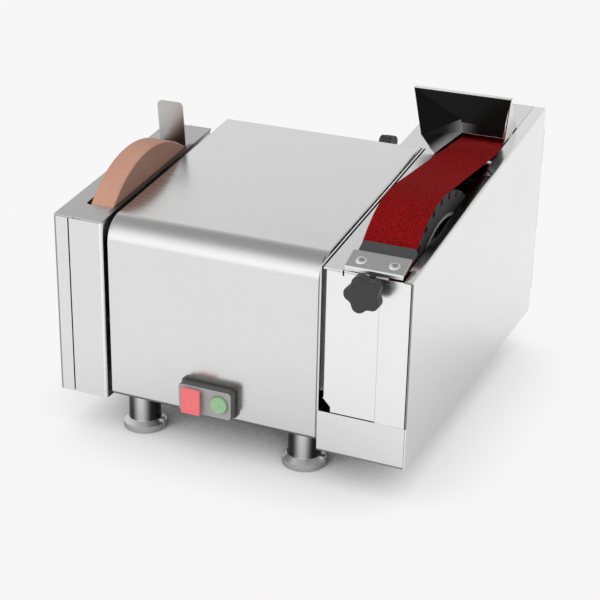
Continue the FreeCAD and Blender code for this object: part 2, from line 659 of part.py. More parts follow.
pieces["switch_block"] = join([
    box(switch_hole[0] + SEAM, switch_hole[1] - SEAM, block_front, block_front + BLOCK_DEPTH,
        switch_hole[2] + SEAM, switch_hole[3] - SEAM),
    box(switch_hole[0] + SEAM, switch_hole[0] + SEAM + BLOCK_POST, bezel_front, block_front,
        switch_hole[2] + SEAM, switch_hole[3] - SEAM),
    box(switch_hole[1] - SEAM - BLOCK_POST, switch_hole[1] - SEAM, bezel_front, block_front,
        switch_hole[2] + SEAM, switch_hole[3] - SEAM),
])
plunger_back = block_front - BUTTON_TRAVEL - BUTTON_FIT
stop_front = face_front - BUTTON_FIT - BUTTON_TRAVEL - BUTTON_PROUD
stop_cap = soft_box(stop_x - STOP_WIDTH / 2, stop_x + STOP_WIDTH / 2, stop_front, stop_front + BUTTON_PROUD,
                    switch_z - STOP_HEIGHT / 2, switch_z + STOP_HEIGHT / 2, STOP_CORNER)
dish_radius = ((STOP_DISH_DIA / 2) ** 2 + STOP_DISH ** 2) / (2 * STOP_DISH)
stop_dish = Part.makeSphere(dish_radius, V(stop_x, stop_front + STOP_DISH - dish_radius, switch_z))
stop_cap = stop_cap.cut(stop_dish)
stop_stem = rod(V(stop_x, stop_front + BUTTON_PROUD, switch_z), Y_AXIS,
                plunger_back - stop_front - BUTTON_PROUD, BUTTON_PLUNGER)
pieces["stop_button"] = join([stop_cap, stop_stem])
start_front = face_front - BUTTON_PROUD
start_cap = rod(V(start_x, start_front, start_z), Y_AXIS, BUTTON_PROUD + FACE_THICK, START_DIA)
start_stem = rod(V(start_x, bezel_front, start_z), Y_AXIS, plunger_back - bezel_front, BUTTON_PLUNGER)
pieces["start_button"] = join([start_cap, start_stem])

# Stone housing: right wall, front, back and floor folded from one sheet, open to the left for its cover.
cover_seam = STONE_LEFT + STONE_COVER_RETURN
seam_right = cover_seam + STONE_SEAM
stone_wall = side_prism(wall_outline(STONE_HOUSING_TOP, STONE_HOUSING_FRONT, STONE_BACK, STONE_HOUSING_LOW),
                        STONE_RIGHT - SHEET, STONE_RIGHT)
stone_front = side_prism(wall_outline(STONE_HOUSING_TOP, STONE_HOUSING_FRONT, STONE_HOUSING_FRONT + SHEET,
                                      STONE_HOUSING_LOW), seam_right, STONE_RIGHT)
stone_back = side_prism(wall_outline(STONE_HOUSING_TOP, STONE_BACK - SHEET, STONE_BACK, STONE_HOUSING_LOW),
                        seam_right, STONE_RIGHT)
stone_floor = box(STONE_LEFT + SHEET + SEAM, STONE_RIGHT,
                  STONE_HOUSING_FRONT + SHEET + SEAM, STONE_BACK - SHEET - SEAM,
                  STONE_HOUSING_LOW, STONE_HOUSING_LOW + SHEET)
stone_floor = stone_floor.fuse(box(seam_right, STONE_RIGHT, STONE_HOUSING_FRONT, STONE_BACK,
                                   STONE_HOUSING_LOW, STONE_HOUSING_LOW + SHEET))
seal_hole = on_axis(STONE_RIGHT - SHEET, SHEET, SEAL_NECK_DIA)
stone_box = join([stone_wall, stone_front, stone_back, stone_floor])
bends = [edge for edge in upright_edges(stone_box) if edge.CenterOfMass.x > STONE_RIGHT - SEAM]
pieces["stone_housing"] = stone_box.makeFillet(SHEET_BEND, bends).cut([seal_hole] + spacer_holes)

# Stone housing top: sloping plate with the slot that the stone stands through; its skirts sit on the walls.
stone_right_face = STONE_RIGHT - SHEET - STONE_FLANGE_CLEAR - STONE_FLANGE
stone_left_face = stone_right_face - STONE_WIDTH
stone_radius = STONE_DIA / 2


def stone_chord(direction):
    """The y place where the stone's rim passes through the sloping top."""
    y = AXIS_Y + direction * stone_radius / 2
    for step in range(40):
        height = top_at(STONE_HOUSING_TOP, y) - AXIS_Z
        y = AXIS_Y + direction * math.sqrt(stone_radius ** 2 - height ** 2)
    return y


slot_front = stone_chord(-1) - SLOT_MARGIN
slot_back = stone_chord(1) + SLOT_MARGIN
slot_left = stone_left_face - SLOT_SIDE
slot_right = stone_right_face + SLOT_INNER
stone_top = sloped_plate(STONE_HOUSING_TOP, STONE_LEFT, STONE_RIGHT, STONE_HOUSING_FRONT, STONE_BACK)
stone_slot = box(slot_left, slot_right, slot_front, slot_back, 0, FAR_LENGTH)
slot_corners = [edge for edge in upright_edges(stone_slot) if edge.CenterOfMass.x < stone_left_face]
stone_slot = stone_slot.makeFillet(SLOT_CORNER, slot_corners)
skirt_x = STONE_RIGHT - SHEET - SEAM
skirt = side_prism(
    [(y, top_at(STONE_HOUSING_TOP, y) - depth) for y, depth in (
        (STONE_HOUSING_FRONT + SKIRT, SKIRT), (STONE_BACK - SKIRT, SKIRT),
        (STONE_BACK - SKIRT, SHEET / 2), (STONE_HOUSING_FRONT + SKIRT, SHEET / 2))],
    skirt_x - SHEET, skirt_x)
tab_x = cover_seam + TAB_INSET
tab_notch = box(tab_x, tab_x + TAB_WIDTH, STONE_HOUSING_FRONT, STONE_HOUSING_FRONT + SHEET / 2, 0, FAR_LENGTH)
back_notch = box(tab_x, tab_x + TAB_BACK_WIDTH, STONE_BACK - SHEET / 2, STONE_BACK, 0, FAR_LENGTH)
splash_y = slot_back + SEAM
splash_left = slot_left - SPLASH_OVERHANG
splash_right = splash_left + SPLASH_WIDTH
splash_tabs = []
for tab_left in (splash_left + SPLASH_TAB, splash_right - 2 * SPLASH_TAB):
    splash_tabs.append(box(tab_left, tab_left + SPLASH_TAB, splash_y, splash_y + SHEET, 0, FAR_LENGTH))
top_plate = join([stone_top, skirt]).cut([stone_slot, tab_notch, back_notch])
pieces["stone_housing_top"] = top_plate.cut(splash_tabs)

# Left side cover: shallow pan that pulls off to the left to reach the stone and its tray.
cover_low = STONE_HOUSING_LOW
cover_side = side_prism(wall_outline(STONE_HOUSING_TOP, STONE_HOUSING_FRONT, STONE_BACK, cover_low),
                        STONE_LEFT, STONE_LEFT + SHEET)
cover_front_return = side_prism(
    wall_outline(STONE_HOUSING_TOP, STONE_HOUSING_FRONT, STONE_HOUSING_FRONT + SHEET, cover_low),
    STONE_LEFT, cover_seam)
cover_back_return = side_prism(
    wall_outline(STONE_HOUSING_TOP, STONE_BACK - SHEET, STONE_BACK, cover_low), STONE_LEFT, cover_seam)
pieces["stone_side_cover"] = join([cover_side, cover_front_return, cover_back_return])

# Water tray under the stone.
tray_low = STONE_HOUSING_LOW + SHEET
tray_left = STONE_LEFT + SHEET + TRAY_LIFT
tray_right = STONE_RIGHT - SHEET
tray_front = STONE_HOUSING_FRONT + TRAY_END
tray_back = STONE_BACK - TRAY_END
tray_outside = box(tray_left, tray_right, tray_front, tray_back, tray_low, tray_low + TRAY_HEIGHT)
tray_inside = box(tray_left + SHEET, tray_right - SHEET, tray_front + SHEET, tray_back - SHEET,
                  tray_low + SHEET, tray_low + TRAY_HEIGHT)
pieces["stone_water_tray"] = tray_outside.cut(tray_inside)

# Splash plate: upright sheet behind the stone, leaning over it, with two tabs let into the top plate.
splash_base = top_at(STONE_HOUSING_TOP, splash_y)
splash_low = splash_base - SHEET / SLOPE_COS
splash_upright = box(splash_left, splash_right, splash_y, splash_y + SHEET,
                     splash_low, splash_base + SPLASH_HEIGHT)
splash_corners = [edge for edge in edges_along_y(splash_upright) if edge.CenterOfMass.z > splash_base]
splash_upright = splash_upright.makeFillet(SPLASH_CORNER, splash_corners)
splash_upright.rotate(V(0, splash_y, splash_base), X_AXIS, SPLASH_LEAN)
below_stone_top = side_prism(
    [(0, -FAR_LENGTH), (STONE_BACK, -FAR_LENGTH), (STONE_BACK, top_at(STONE_HOUSING_TOP, STONE_BACK)),
     (0, STONE_HOUSING_TOP)], STONE_LEFT, STONE_RIGHT)
tabs_in_plate = [tab.common(stone_top) for tab in splash_tabs]
pieces["stone_splash_plate"] = join([splash_upright.cut(below_stone_top)] + tabs_in_plate)

# Spindle: one shaft through both housings, with the rotor, the stone and the contact wheel fixed on it.
shaft_left = stone_left_face - STONE_FLANGE - NUT_THICK - SHAFT_SHOW
wheel_left = BELT_X + WHEEL_SIDE
wheel_right = BELT_X + BELT_WIDTH - WHEEL_SIDE
wheel_web_left = wheel_right - WHEEL_RECESS - WHEEL_WEB
wheel_nut_left = wheel_web_left + WHEEL_WEB
shaft_right = wheel_nut_left + NUT_THICK + SHAFT_SHOW
stone_shoulder = stone_right_face + STONE_FLANGE
shaft = join([
    on_axis(shaft_left, stone_shoulder - shaft_left, SHAFT_END_DIA),
    on_axis(stone_shoulder, wheel_web_left - stone_shoulder, SHAFT_DIA),
    on_axis(wheel_web_left, shaft_right - wheel_web_left, SHAFT_END_DIA),
])
pieces["spindle_shaft"] = shaft
rotor_left = MOTOR_MIDDLE - ROTOR_LENGTH / 2
pieces["motor_rotor"] = on_axis(rotor_left, ROTOR_LENGTH, STATOR_BORE - 2 * AIR_GAP).cut(
    on_axis(rotor_left, ROTOR_LENGTH, SHAFT_DIA))
stone_disc = on_axis(stone_left_face, STONE_WIDTH, STONE_DIA)
stone_disc = stone_disc.makeChamfer(STONE_EDGE, [edge for edge in stone_disc.Edges if edge.Closed])
pieces["grinding_stone"] = stone_disc.cut(on_axis(stone_left_face, STONE_WIDTH, SHAFT_END_DIA))
flange_discs = []
for flange_x in (stone_left_face - STONE_FLANGE, stone_right_face):
    disc = on_axis(flange_x, STONE_FLANGE, STONE_FLANGE_DIA)
    flange_discs.append(disc.cut(on_axis(flange_x, STONE_FLANGE, SHAFT_END_DIA)))
pieces["stone_flanges"] = group(flange_discs)
stone_nut_x = stone_left_face - STONE_FLANGE - NUT_THICK
pieces["stone_nut"] = hexagon(V(stone_nut_x, AXIS_Y, AXIS_Z), X_AXIS, NUT_ACROSS, NUT_THICK).cut(
    on_axis(stone_nut_x, NUT_THICK, SHAFT_END_DIA))
pieces["contact_wheel_nut"] = hexagon(V(wheel_nut_left, AXIS_Y, AXIS_Z), X_AXIS, NUT_ACROSS, NUT_THICK).cut(
    on_axis(wheel_nut_left, NUT_THICK, SHAFT_END_DIA))

# Contact wheel: light alloy hub with a web and rim, and a rubber tyre with slanting grooves.
wheel_width = wheel_right - wheel_left
rim = on_axis(wheel_left, wheel_width, WHEEL_RIM_DIA)
rim = rim.cut(on_axis(wheel_left, wheel_width, WHEEL_RIM_DIA - 2 * WHEEL_RIM))
web = on_axis(wheel_web_left, WHEEL_WEB, WHEEL_RIM_DIA - WHEEL_RIM)
boss = on_axis(wheel_left, wheel_web_left - wheel_left + WHEEL_WEB, WHEEL_HUB_DIA)
hub_cuts = [
    on_axis(wheel_left, wheel_web_left - wheel_left, SHAFT_DIA),
    on_axis(wheel_left, wheel_width, SHAFT_END_DIA),
]
hole_circle = (WHEEL_RIM_DIA / 2 - WHEEL_RIM + WHEEL_HUB_DIA / 2) / 2
for hole in range(HUB_HOLE_COUNT):
    turn = 2 * math.pi * hole / HUB_HOLE_COUNT
    hole_y = AXIS_Y + hole_circle * math.cos(turn)
    hole_z = AXIS_Z + hole_circle * math.sin(turn)
    hub_cuts.append(rod(V(wheel_left, hole_y, hole_z), X_AXIS, wheel_width, HUB_HOLE_DIA))
pieces["contact_wheel_hub"] = join([rim, web, boss]).cut(hub_cuts)
tyre = on_axis(wheel_left, wheel_width, WHEEL_DIA).cut(on_axis(wheel_left, wheel_width, WHEEL_RIM_DIA))
grooves = []
for groove in range(TREAD_COUNT):
    bar = box(wheel_left - wheel_width, wheel_right + wheel_width,
              AXIS_Y - TREAD_WIDTH / 2, AXIS_Y + TREAD_WIDTH / 2,
              AXIS_Z + WHEEL_DIA / 2 - TREAD_DEPTH, AXIS_Z + WHEEL_DIA / 2 + TREAD_DEPTH)
    bar.rotate(V((wheel_left + wheel_right) / 2, AXIS_Y, AXIS_Z), Z_AXIS, TREAD_LEAN)
    bar.rotate(V(0, AXIS_Y, AXIS_Z), X_AXIS, 360 * groove / TREAD_COUNT)
    grooves.append(bar)
pieces["contact_wheel_tyre"] = tyre.cut(grooves)

# Shaft seals: rubber rings in the housing walls.
def wall_seal(wall_x, side):
    """A seal seated in a wall's hole, with its collar on one side of the sheet."""
    collar_x = wall_x + (SHEET if side > 0 else -SEAL_WIDTH)
    collar = on_axis(collar_x, SEAL_WIDTH, SEAL_DIA)
    neck = on_axis(wall_x, SHEET, SEAL_NECK_DIA)
    bore = on_axis(min(wall_x, collar_x), SEAL_WIDTH + SHEET, SHAFT_DIA + 2 * RUN_FIT)
    return join([collar, neck]).cut(bore)


pieces["belt_shaft_seal"] = wall_seal(BELT_LEFT, 1)
pieces["stone_shaft_seal"] = wall_seal(STONE_RIGHT - SHEET, 1)

# Belt housing wall: inner side with the step out to the rear box, folded from one sheet. Its front and top
# edges stand in the seam beside the motor cover.
belt_wall_front = SEAM
step_back = REAR_BOX_FRONT + SHEET
wall_main = side_prism(wall_outline(BELT_HOUSING_TOP, belt_wall_front, step_back, BELT_HOUSING_LOW),
                       BELT_LEFT, BELT_LEFT + SHEET)
wall_step = side_prism(wall_outline(BELT_HOUSING_TOP, REAR_BOX_FRONT, step_back, BELT_HOUSING_LOW),
                       BOX_LEFT, BELT_LEFT + SHEET)
back_inside = BELT_HOUSING_DEPTH - SHEET - SEAM
wall_rear = side_prism(wall_outline(BELT_HOUSING_TOP, REAR_BOX_FRONT, back_inside, BELT_HOUSING_LOW),
                       BOX_LEFT, BOX_LEFT + SHEET)
drop = SHEET / SLOPE_COS + SEAM
rise_back = REAR_BOX_FRONT - SEAM
wall_rise = side_prism(
    [(belt_wall_front, BELT_HOUSING_TOP - drop), (rise_back, top_at(BELT_HOUSING_TOP, rise_back) - drop),
     (rise_back, top_at(BELT_HOUSING_TOP, rise_back)), (belt_wall_front, BELT_HOUSING_TOP)],
    BELT_LEFT, BELT_LEFT + SHEET)
belt_seal_hole = on_axis(BELT_LEFT, SHEET, SEAL_NECK_DIA)

# The belt runs from the contact wheel to the idler; the tension carriage slides along the line between them.
slack = V(0, -math.cos(RUN_ANGLE), -math.sin(RUN_ANGLE))
slack_move = slack * CARRIAGE_TRAVEL


def travel_slot(x0, x1, y, z, dia):
    """A slot along X that lets a round stud move with the carriage."""
    start = rod(V(x0, y, z), X_AXIS, x1 - x0, dia)
    end = rod(V(x0, y, z) + slack_move, X_AXIS, x1 - x0, dia)
    across = V(0, -slack.z, slack.y) * (dia / 2)
    near = V(x0, y, z)
    far = near + slack_move
    bar = prism([near + across, near - across, far - across, far + across], V(x1 - x0, 0, 0))
    return join([start, end, bar])


stud_slot = travel_slot(BOX_LEFT, BOX_LEFT + SHEET, TENSION_Y, TENSION_Z, STUD_DIA + 2 * SLOT_FIT)
guide_slot = travel_slot(BOX_LEFT, BOX_LEFT + SHEET, GUIDE_Y, GUIDE_Z, GUIDE_DIA + 2 * SLOT_FIT)
rear_floor = box(BOX_LEFT, BELT_LEFT + SHEET, REAR_BOX_FRONT, back_inside,
                 BELT_HOUSING_LOW, BELT_HOUSING_LOW + SHEET)
behind_strip = box(BELT_LEFT, BELT_LEFT + SHEET, 0, SHEET + SEAM, BELT_HOUSING_LOW, TANK_TOP + SEAM)
pieces["belt_housing_wall"] = join([wall_main, wall_rise, wall_step, wall_rear, rear_floor]).cut(
    [belt_seal_hole, stud_slot, guide_slot, behind_strip] + spacer_holes)

# Front panel with the slot for the knife rest's stud, the cut corner and a tab back to the inner wall. It
# stands as high as the top plate's face where that plate is open for the rest's leg.
panel_x0 = BELT_LEFT + FRONT_LEFT
panel_x1 = DOOR_INSIDE - CORNER_GAP
front_low = TANK_TOP + FRONT_GAP
front_high = BELT_HOUSING_TOP - SHEET / SLOPE_COS - SEAM
split_x = panel_x0 + FRONT_SPLIT
leg_x0 = REST_KNOB_X - REST_LEG_LEFT
rest_opening_x0 = leg_x0 - REST_NOTCH_SIDE
rest_opening_x1 = REST_RIGHT + REST_NOTCH_SIDE
front_sheet = side_prism(wall_outline(BELT_HOUSING_TOP, 0, SHEET, front_low), panel_x0, panel_x1)
front_rise = box(rest_opening_x0 + SEAM, rest_opening_x1 - SEAM, 0, SHEET,
                 front_high, BELT_HOUSING_TOP - REST_NOTCH_LOW)
front_fill = box(split_x, panel_x1, 0, SHEET, TANK_TOP + SEAM / 2, front_low)
front_split = box(split_x, split_x + FRONT_SPLIT_WIDTH, 0, FRONT_SPLIT_DEPTH, TANK_TOP, FAR_LENGTH)
notch_x = panel_x0 + FRONT_NOTCH_WIDTH
corner_cut = prism([V(panel_x0, 0, front_low), V(notch_x, 0, front_low),
                    V(notch_x, 0, front_low + FRONT_NOTCH_SIDE),
                    V(panel_x0, 0, front_low + FRONT_NOTCH_HEIGHT)], V(0, SHEET, 0))
rest_slot_width = STUD_DIA + 2 * SLOT_FIT
rest_slot = box(REST_KNOB_X - rest_slot_width / 2, REST_KNOB_X + rest_slot_width / 2, 0, SHEET,
                REST_KNOB_Z - rest_slot_width / 2, FAR_LENGTH)
tab_low = front_low + FRONT_NOTCH_HEIGHT
tab_side = box(panel_x0, panel_x0 + SHEET, SHEET, FRONT_TAB, tab_low, front_high)
tab_foot = box(BELT_LEFT + SHEET, panel_x0 + SHEET, FRONT_TAB - SHEET, FRONT_TAB, tab_low, front_high)
outside_bend = box(panel_x0, panel_x0 + FRONT_ROUND, 0, FRONT_ROUND, tab_low, FAR_LENGTH).cut(
    rod(V(panel_x0 + FRONT_ROUND, FRONT_ROUND, tab_low), Z_AXIS, FAR_LENGTH, 2 * FRONT_ROUND))
front_panel = join([front_sheet, front_rise, front_fill, tab_side, tab_foot])
rest_slit = box(REST_LEFT - REST_SLIT - SEAM, REST_LEFT - SEAM, 0, 2 * SHEET,
                BELT_HOUSING_TOP - REST_SLIT_HEIGHT, FAR_LENGTH)
pieces["belt_housing_front"] = front_panel.cut([corner_cut, outside_bend, rest_slot, rest_slit, front_split])

# Water tank: open tray that the contact wheel dips into; its front strip shows below the front panel.
tank_x0 = BELT_LEFT + SHEET
tank_x1 = DOOR_INSIDE - SEAM
tank_back = back_inside - SEAM
tank = box(tank_x0, tank_x1, 0, tank_back, BELT_HOUSING_LOW, TANK_TOP).cut(
    box(tank_x0 + SHEET, tank_x1 - SHEET, SHEET, tank_back - SHEET, BELT_HOUSING_LOW + SHEET, TANK_TOP))
tank_strip = box(BELT_LEFT + TANK_STRIP_IN, tank_x1, 0, SHEET, BELT_HOUSING_LOW, TANK_TOP)
drain_spot = V((tank_x0 + tank_x1) / 2, tank_back - DRAIN_INSET, BELT_HOUSING_LOW)
drain_hole = rod(drain_spot, Z_AXIS, SHEET, DRAIN_DIA)
pieces["belt_water_tank"] = join([tank, tank_strip]).cut(drain_hole)
pieces["tank_drain_plug"] = join([
    rod(drain_spot - V(0, 0, DRAIN_HEAD), Z_AXIS, DRAIN_HEAD, DRAIN_HEAD_DIA),
    rod(drain_spot, Z_AXIS, SHEET + DRAIN_SHOW, DRAIN_DIA),
])

# Top plate of the belt housing, open over the belt and at the front for the knife rest.
flange_x = BELT_RIGHT - FLANGE_WIDTH
top_x1 = flange_x - SEAM
opening_x = BELT_LEFT + OPENING_LEFT
belt_top = join([
    sloped_plate(BELT_HOUSING_TOP, BELT_LEFT + TOP_LEFT, top_x1, 0, BELT_HOUSING_DEPTH),
    sloped_plate(BELT_HOUSING_TOP, BOX_LEFT, BELT_LEFT + TOP_LEFT, REAR_BOX_FRONT, BELT_HOUSING_DEPTH),
])
belt_opening = box(opening_x, top_x1, OPENING_NARROW, OPENING_BACK, 0, FAR_LENGTH)
narrow_opening = box(BELT_X - OPENING_NARROW_CLEAR, top_x1, OPENING_FRONT, OPENING_NARROW, 0, FAR_LENGTH)
front_opening = box(rest_opening_x0, top_x1, 0, OPENING_FRONT, 0, FAR_LENGTH)
seam_slits = [box(top_x1 - SEAM_SLIT, top_x1, y0, y1, 0, FAR_LENGTH) for y0, y1 in SEAM_SLITS]
pieces["belt_housing_top"] = belt_top.cut(
    [belt_opening, narrow_opening, front_opening, rest_slit] + seam_slits)

# Back panel and the fixed leaf of the door hinge with its pin.
back_y = BELT_HOUSING_DEPTH - SHEET
pieces["belt_housing_back"] = side_prism(
    wall_outline(BELT_HOUSING_TOP, back_y, BELT_HOUSING_DEPTH, BELT_HOUSING_LOW), BOX_LEFT, tank_x1)
hinge_low = BELT_HOUSING_LOW + (top_at(BELT_HOUSING_TOP, BELT_HOUSING_DEPTH) - BELT_HOUSING_LOW
                                - HINGE_COUNT * HINGE_KNUCKLE) / 2
hinge_high = hinge_low + HINGE_COUNT * HINGE_KNUCKLE
leaf_edge = HINGE_X - HINGE_RADIUS - SEAM
leaf_back = BELT_HOUSING_DEPTH + LEAF_THICK
fixed_parts = [box(HINGE_X - HINGE_LEAF, leaf_edge, BELT_HOUSING_DEPTH, leaf_back, hinge_low, hinge_high)]
door_parts = []
for knuckle in range(HINGE_COUNT):
    knuckle_low = hinge_low + knuckle * HINGE_KNUCKLE + SEAM / 2
    knuckle_length = HINGE_KNUCKLE - SEAM
    barrel = rod(V(HINGE_X, HINGE_Y, knuckle_low), Z_AXIS, knuckle_length, 2 * HINGE_RADIUS)
    if knuckle % 2 == 0:
        tongue = box(leaf_edge, HINGE_X, BELT_HOUSING_DEPTH, leaf_back,
                     knuckle_low, knuckle_low + knuckle_length)
        bore = rod(V(HINGE_X, HINGE_Y, knuckle_low), Z_AXIS, knuckle_length, HINGE_PIN_DIA)
        fixed_parts.append(barrel.fuse(tongue).cut(bore))
    else:
        tongue = box(DOOR_INSIDE, BELT_RIGHT, BELT_HOUSING_DEPTH, HINGE_Y,
                     knuckle_low, knuckle_low + knuckle_length)
        bore = rod(V(HINGE_X, HINGE_Y, knuckle_low), Z_AXIS, knuckle_length, HINGE_PIN_DIA + 2 * RUN_FIT)
        door_parts.append(barrel.fuse(tongue).cut(bore))
pieces["door_hinge_leaf"] = join(fixed_parts)
pieces["door_hinge_pin"] = rod(V(HINGE_X, HINGE_Y, hinge_low), Z_AXIS, hinge_high - hinge_low, HINGE_PIN_DIA)

# Side door: right side panel, turned in round a soft edge at the top with the flanges that close it, and with
# a rail beside the belt one sheet lower. It hangs on the rear hinge.
door_panel = side_prism(
    [(0, BELT_HOUSING_LOW), (BELT_HOUSING_DEPTH, BELT_HOUSING_LOW),
     (BELT_HOUSING_DEPTH, top_at(BELT_HOUSING_TOP, BELT_HOUSING_DEPTH)), (0, BELT_HOUSING_TOP)],
    DOOR_INSIDE, BELT_RIGHT)
front_flange = sloped_plate(BELT_HOUSING_TOP, rest_opening_x1, BELT_RIGHT, 0, FLANGE_FRONT)
back_flange = sloped_plate(BELT_HOUSING_TOP, flange_x, BELT_RIGHT, FLANGE_BACK_START, BELT_HOUSING_DEPTH)
flange_corner = prism([V(flange_x, FLANGE_BACK_START, 0), V(flange_x + FLANGE_CHAMFER, FLANGE_BACK_START, 0),
                       V(flange_x, FLANGE_BACK_START + FLANGE_CHAMFER_LONG, 0)], V(0, 0, FAR_LENGTH))
edge_return = sloped_plate(BELT_HOUSING_TOP, BELT_RIGHT - DOOR_RETURN, BELT_RIGHT,
                           FLANGE_FRONT, FLANGE_BACK_START)
rail = sloped_plate(BELT_HOUSING_TOP - SHEET / SLOPE_COS, BELT_RIGHT - DOOR_RAIL, DOOR_INSIDE,
                    FLANGE_FRONT + SEAM, DOOR_RAIL_BACK)
door = join([door_panel, front_flange, edge_return, back_flange.cut(flange_corner), rail])
top_edges = [edge for edge in door.Edges if edge.BoundBox.XMin > BELT_RIGHT - SEAM
             and edge.BoundBox.ZMin > BELT_HOUSING_TOP - SEAM and edge.BoundBox.YLength > FLANGE_FRONT]
pieces["belt_door"] = join([door.makeFillet(DOOR_ROUND, top_edges)] + door_parts)

# Abrasive belt: an endless loop round the contact wheel and the idler.
wheel_centre = V(0, AXIS_Y, AXIS_Z)
idler_centre = V(0, IDLER_Y, IDLER_Z)


def loop_face(wheel_r, idler_r):
    """The face inside an open belt run round both wheels."""
    spread = math.acos((wheel_r - idler_r) / RUN_LENGTH)

    def point(centre, radius, turn):
        return centre + V(0, radius * math.cos(turn), radius * math.sin(turn))

    upper = RUN_ANGLE + spread
    lower = RUN_ANGLE - spread
    wheel_arc = Part.Arc(point(wheel_centre, wheel_r, upper),
                         point(wheel_centre, wheel_r, RUN_ANGLE + math.pi),
                         point(wheel_centre, wheel_r, lower))
    idler_arc = Part.Arc(point(idler_centre, idler_r, lower), point(idler_centre, idler_r, RUN_ANGLE),
                         point(idler_centre, idler_r, upper))
    below = Part.LineSegment(point(wheel_centre, wheel_r, lower), point(idler_centre, idler_r, lower))
    above = Part.LineSegment(point(idler_centre, idler_r, upper), point(wheel_centre, wheel_r, upper))
    return Part.Face(Part.Wire([wheel_arc.toShape(), below.toShape(), idler_arc.toShape(), above.toShape()]))


inside_r = WHEEL_DIA / 2 + BELT_CLEAR
inside_idler = IDLER_DIA / 2 + BELT_CLEAR
belt_loop = loop_face(inside_r + BELT_THICK, inside_idler + BELT_THICK).extrude(V(BELT_WIDTH, 0, 0)).cut(
    loop_face(inside_r, inside_idler).extrude(V(BELT_WIDTH, 0, 0)))
belt_loop.translate(V(BELT_X, 0, 0))
pieces["abrasive_belt"] = belt_loop

# Idler and its carriage: roller on two bearings, fixed axle on a plate that slides along the belt's run.
def at_idler(x, length, dia):
    return rod(V(x, IDLER_Y, IDLER_Z), X_AXIS, length, dia)


idler_left = BELT_X - IDLER_SIDE
idler_length = BELT_WIDTH + 2 * IDLER_SIDE
idler_bore = IDLER_DIA - 2 * IDLER_WALL
roller = at_idler(idler_left, idler_length, IDLER_DIA)
pieces["idler_roller"] = roller.cut(at_idler(idler_left, idler_length, idler_bore))
idler_bearings = []
for bearing_x in (idler_left, idler_left + idler_length - IDLER_BEARING_WIDTH):
    idler_bearings.append(at_idler(bearing_x, IDLER_BEARING_WIDTH, idler_bore).cut(
        at_idler(bearing_x, IDLER_BEARING_WIDTH, IDLER_AXLE_DIA + 2 * RUN_FIT)))
pieces["idler_bearings"] = group(idler_bearings)
carriage_x0 = BOX_LEFT + SHEET + SEAM
carriage_x1 = carriage_x0 + CARRIAGE_THICK
carriage_low = IDLER_Z - IDLER_AXLE_DIA / 2 - CARRIAGE_EDGE
carriage_plate = side_prism(
    [(TENSION_Y - CARRIAGE_EDGE, TENSION_Z - CARRIAGE_EDGE), (IDLER_Y - CARRIAGE_EDGE, carriage_low),
     (GUIDE_Y + CARRIAGE_EDGE, carriage_low), (GUIDE_Y + CARRIAGE_EDGE, GUIDE_Z + CARRIAGE_EDGE),
     (TENSION_Y - CARRIAGE_EDGE, TENSION_Z + CARRIAGE_EDGE)], carriage_x0, carriage_x1)
guide_pin = rod(V(BOX_LEFT, GUIDE_Y, GUIDE_Z), X_AXIS, carriage_x0 - BOX_LEFT, GUIDE_DIA)
stud_hole = rod(V(carriage_x0, TENSION_Y, TENSION_Z), X_AXIS, CARRIAGE_THICK, STUD_DIA + 2 * RUN_FIT)
axle_seat = at_idler(carriage_x0, CARRIAGE_THICK, IDLER_AXLE_DIA)
pieces["tension_carriage"] = join([carriage_plate, guide_pin]).cut([stud_hole, axle_seat])
axle_end = idler_left + idler_length + SEAM + CLIP_THICK + AXLE_SHOW
pieces["idler_axle"] = join([
    at_idler(carriage_x0, axle_end - carriage_x0, IDLER_AXLE_DIA),
    at_idler(carriage_x1, idler_left - SEAM - carriage_x1, CLIP_DIA),
])
clip_x = idler_left + idler_length + SEAM
clip = at_idler(clip_x, CLIP_THICK, CLIP_DIA)
pieces["idler_clip"] = clip.cut(at_idler(clip_x, CLIP_THICK, IDLER_AXLE_DIA))

# Star knobs: five soft lobes with narrow valleys on a boss, with a steel stud.
def star_grip(centre, axis, across):
    """The lobed grip along an axis, with one lobe near the top and both faces' edges rounded."""
    points = []
    for step in range(STAR_LOBES * STAR_POINTS):
        turn = 2 * math.pi * step / (STAR_LOBES * STAR_POINTS)
        valley = ((1 - math.cos(STAR_LOBES * turn)) / 2) ** STAR_FULLNESS
        radius = STAR_DIA / 2 - STAR_WAIST * valley
        place = turn + math.radians(STAR_PHASE)
        points.append(centre + Z_AXIS * (radius * math.cos(place)) - across * (radius * math.sin(place)))
    curve = Part.BSplineCurve()
    curve.interpolate(points, True)
    grip = Part.Face(Part.Wire(curve.toShape())).extrude(axis * STAR_THICK)
    return grip.makeFillet(STAR_ROUND, [edge for edge in grip.Edges if edge.Closed])


rest_star = star_grip(V(REST_KNOB_X, KNOB_FRONT, REST_KNOB_Z), Y_AXIS, X_AXIS)
rest_boss = rod(V(REST_KNOB_X, KNOB_FRONT + STAR_THICK, REST_KNOB_Z), Y_AXIS, STAR_BOSS, STAR_BOSS_DIA)
rest_leg_y = SHEET + SEAM
rest_stud_start = KNOB_FRONT + STAR_THICK + STAR_BOSS - STUD_GRIP
rest_stud_end = rest_leg_y + REST_PLATE + STUD_NUT_THICK + STUD_SHOW
rest_stud = rod(V(REST_KNOB_X, rest_stud_start, REST_KNOB_Z), Y_AXIS,
                rest_stud_end - rest_stud_start, STUD_DIA)
pieces["rest_knob"] = join([rest_star, rest_boss]).cut(rest_stud)
pieces["rest_stud"] = rest_stud
tension_right = BOX_LEFT - TENSION_STUD_OUT
tension_left = tension_right - STAR_THICK
tension_star = star_grip(V(tension_left, TENSION_Y, TENSION_Z), X_AXIS, Y_AXIS)
tension_boss = rod(V(tension_right, TENSION_Y, TENSION_Z), X_AXIS, TENSION_COLLAR, TENSION_COLLAR_DIA)
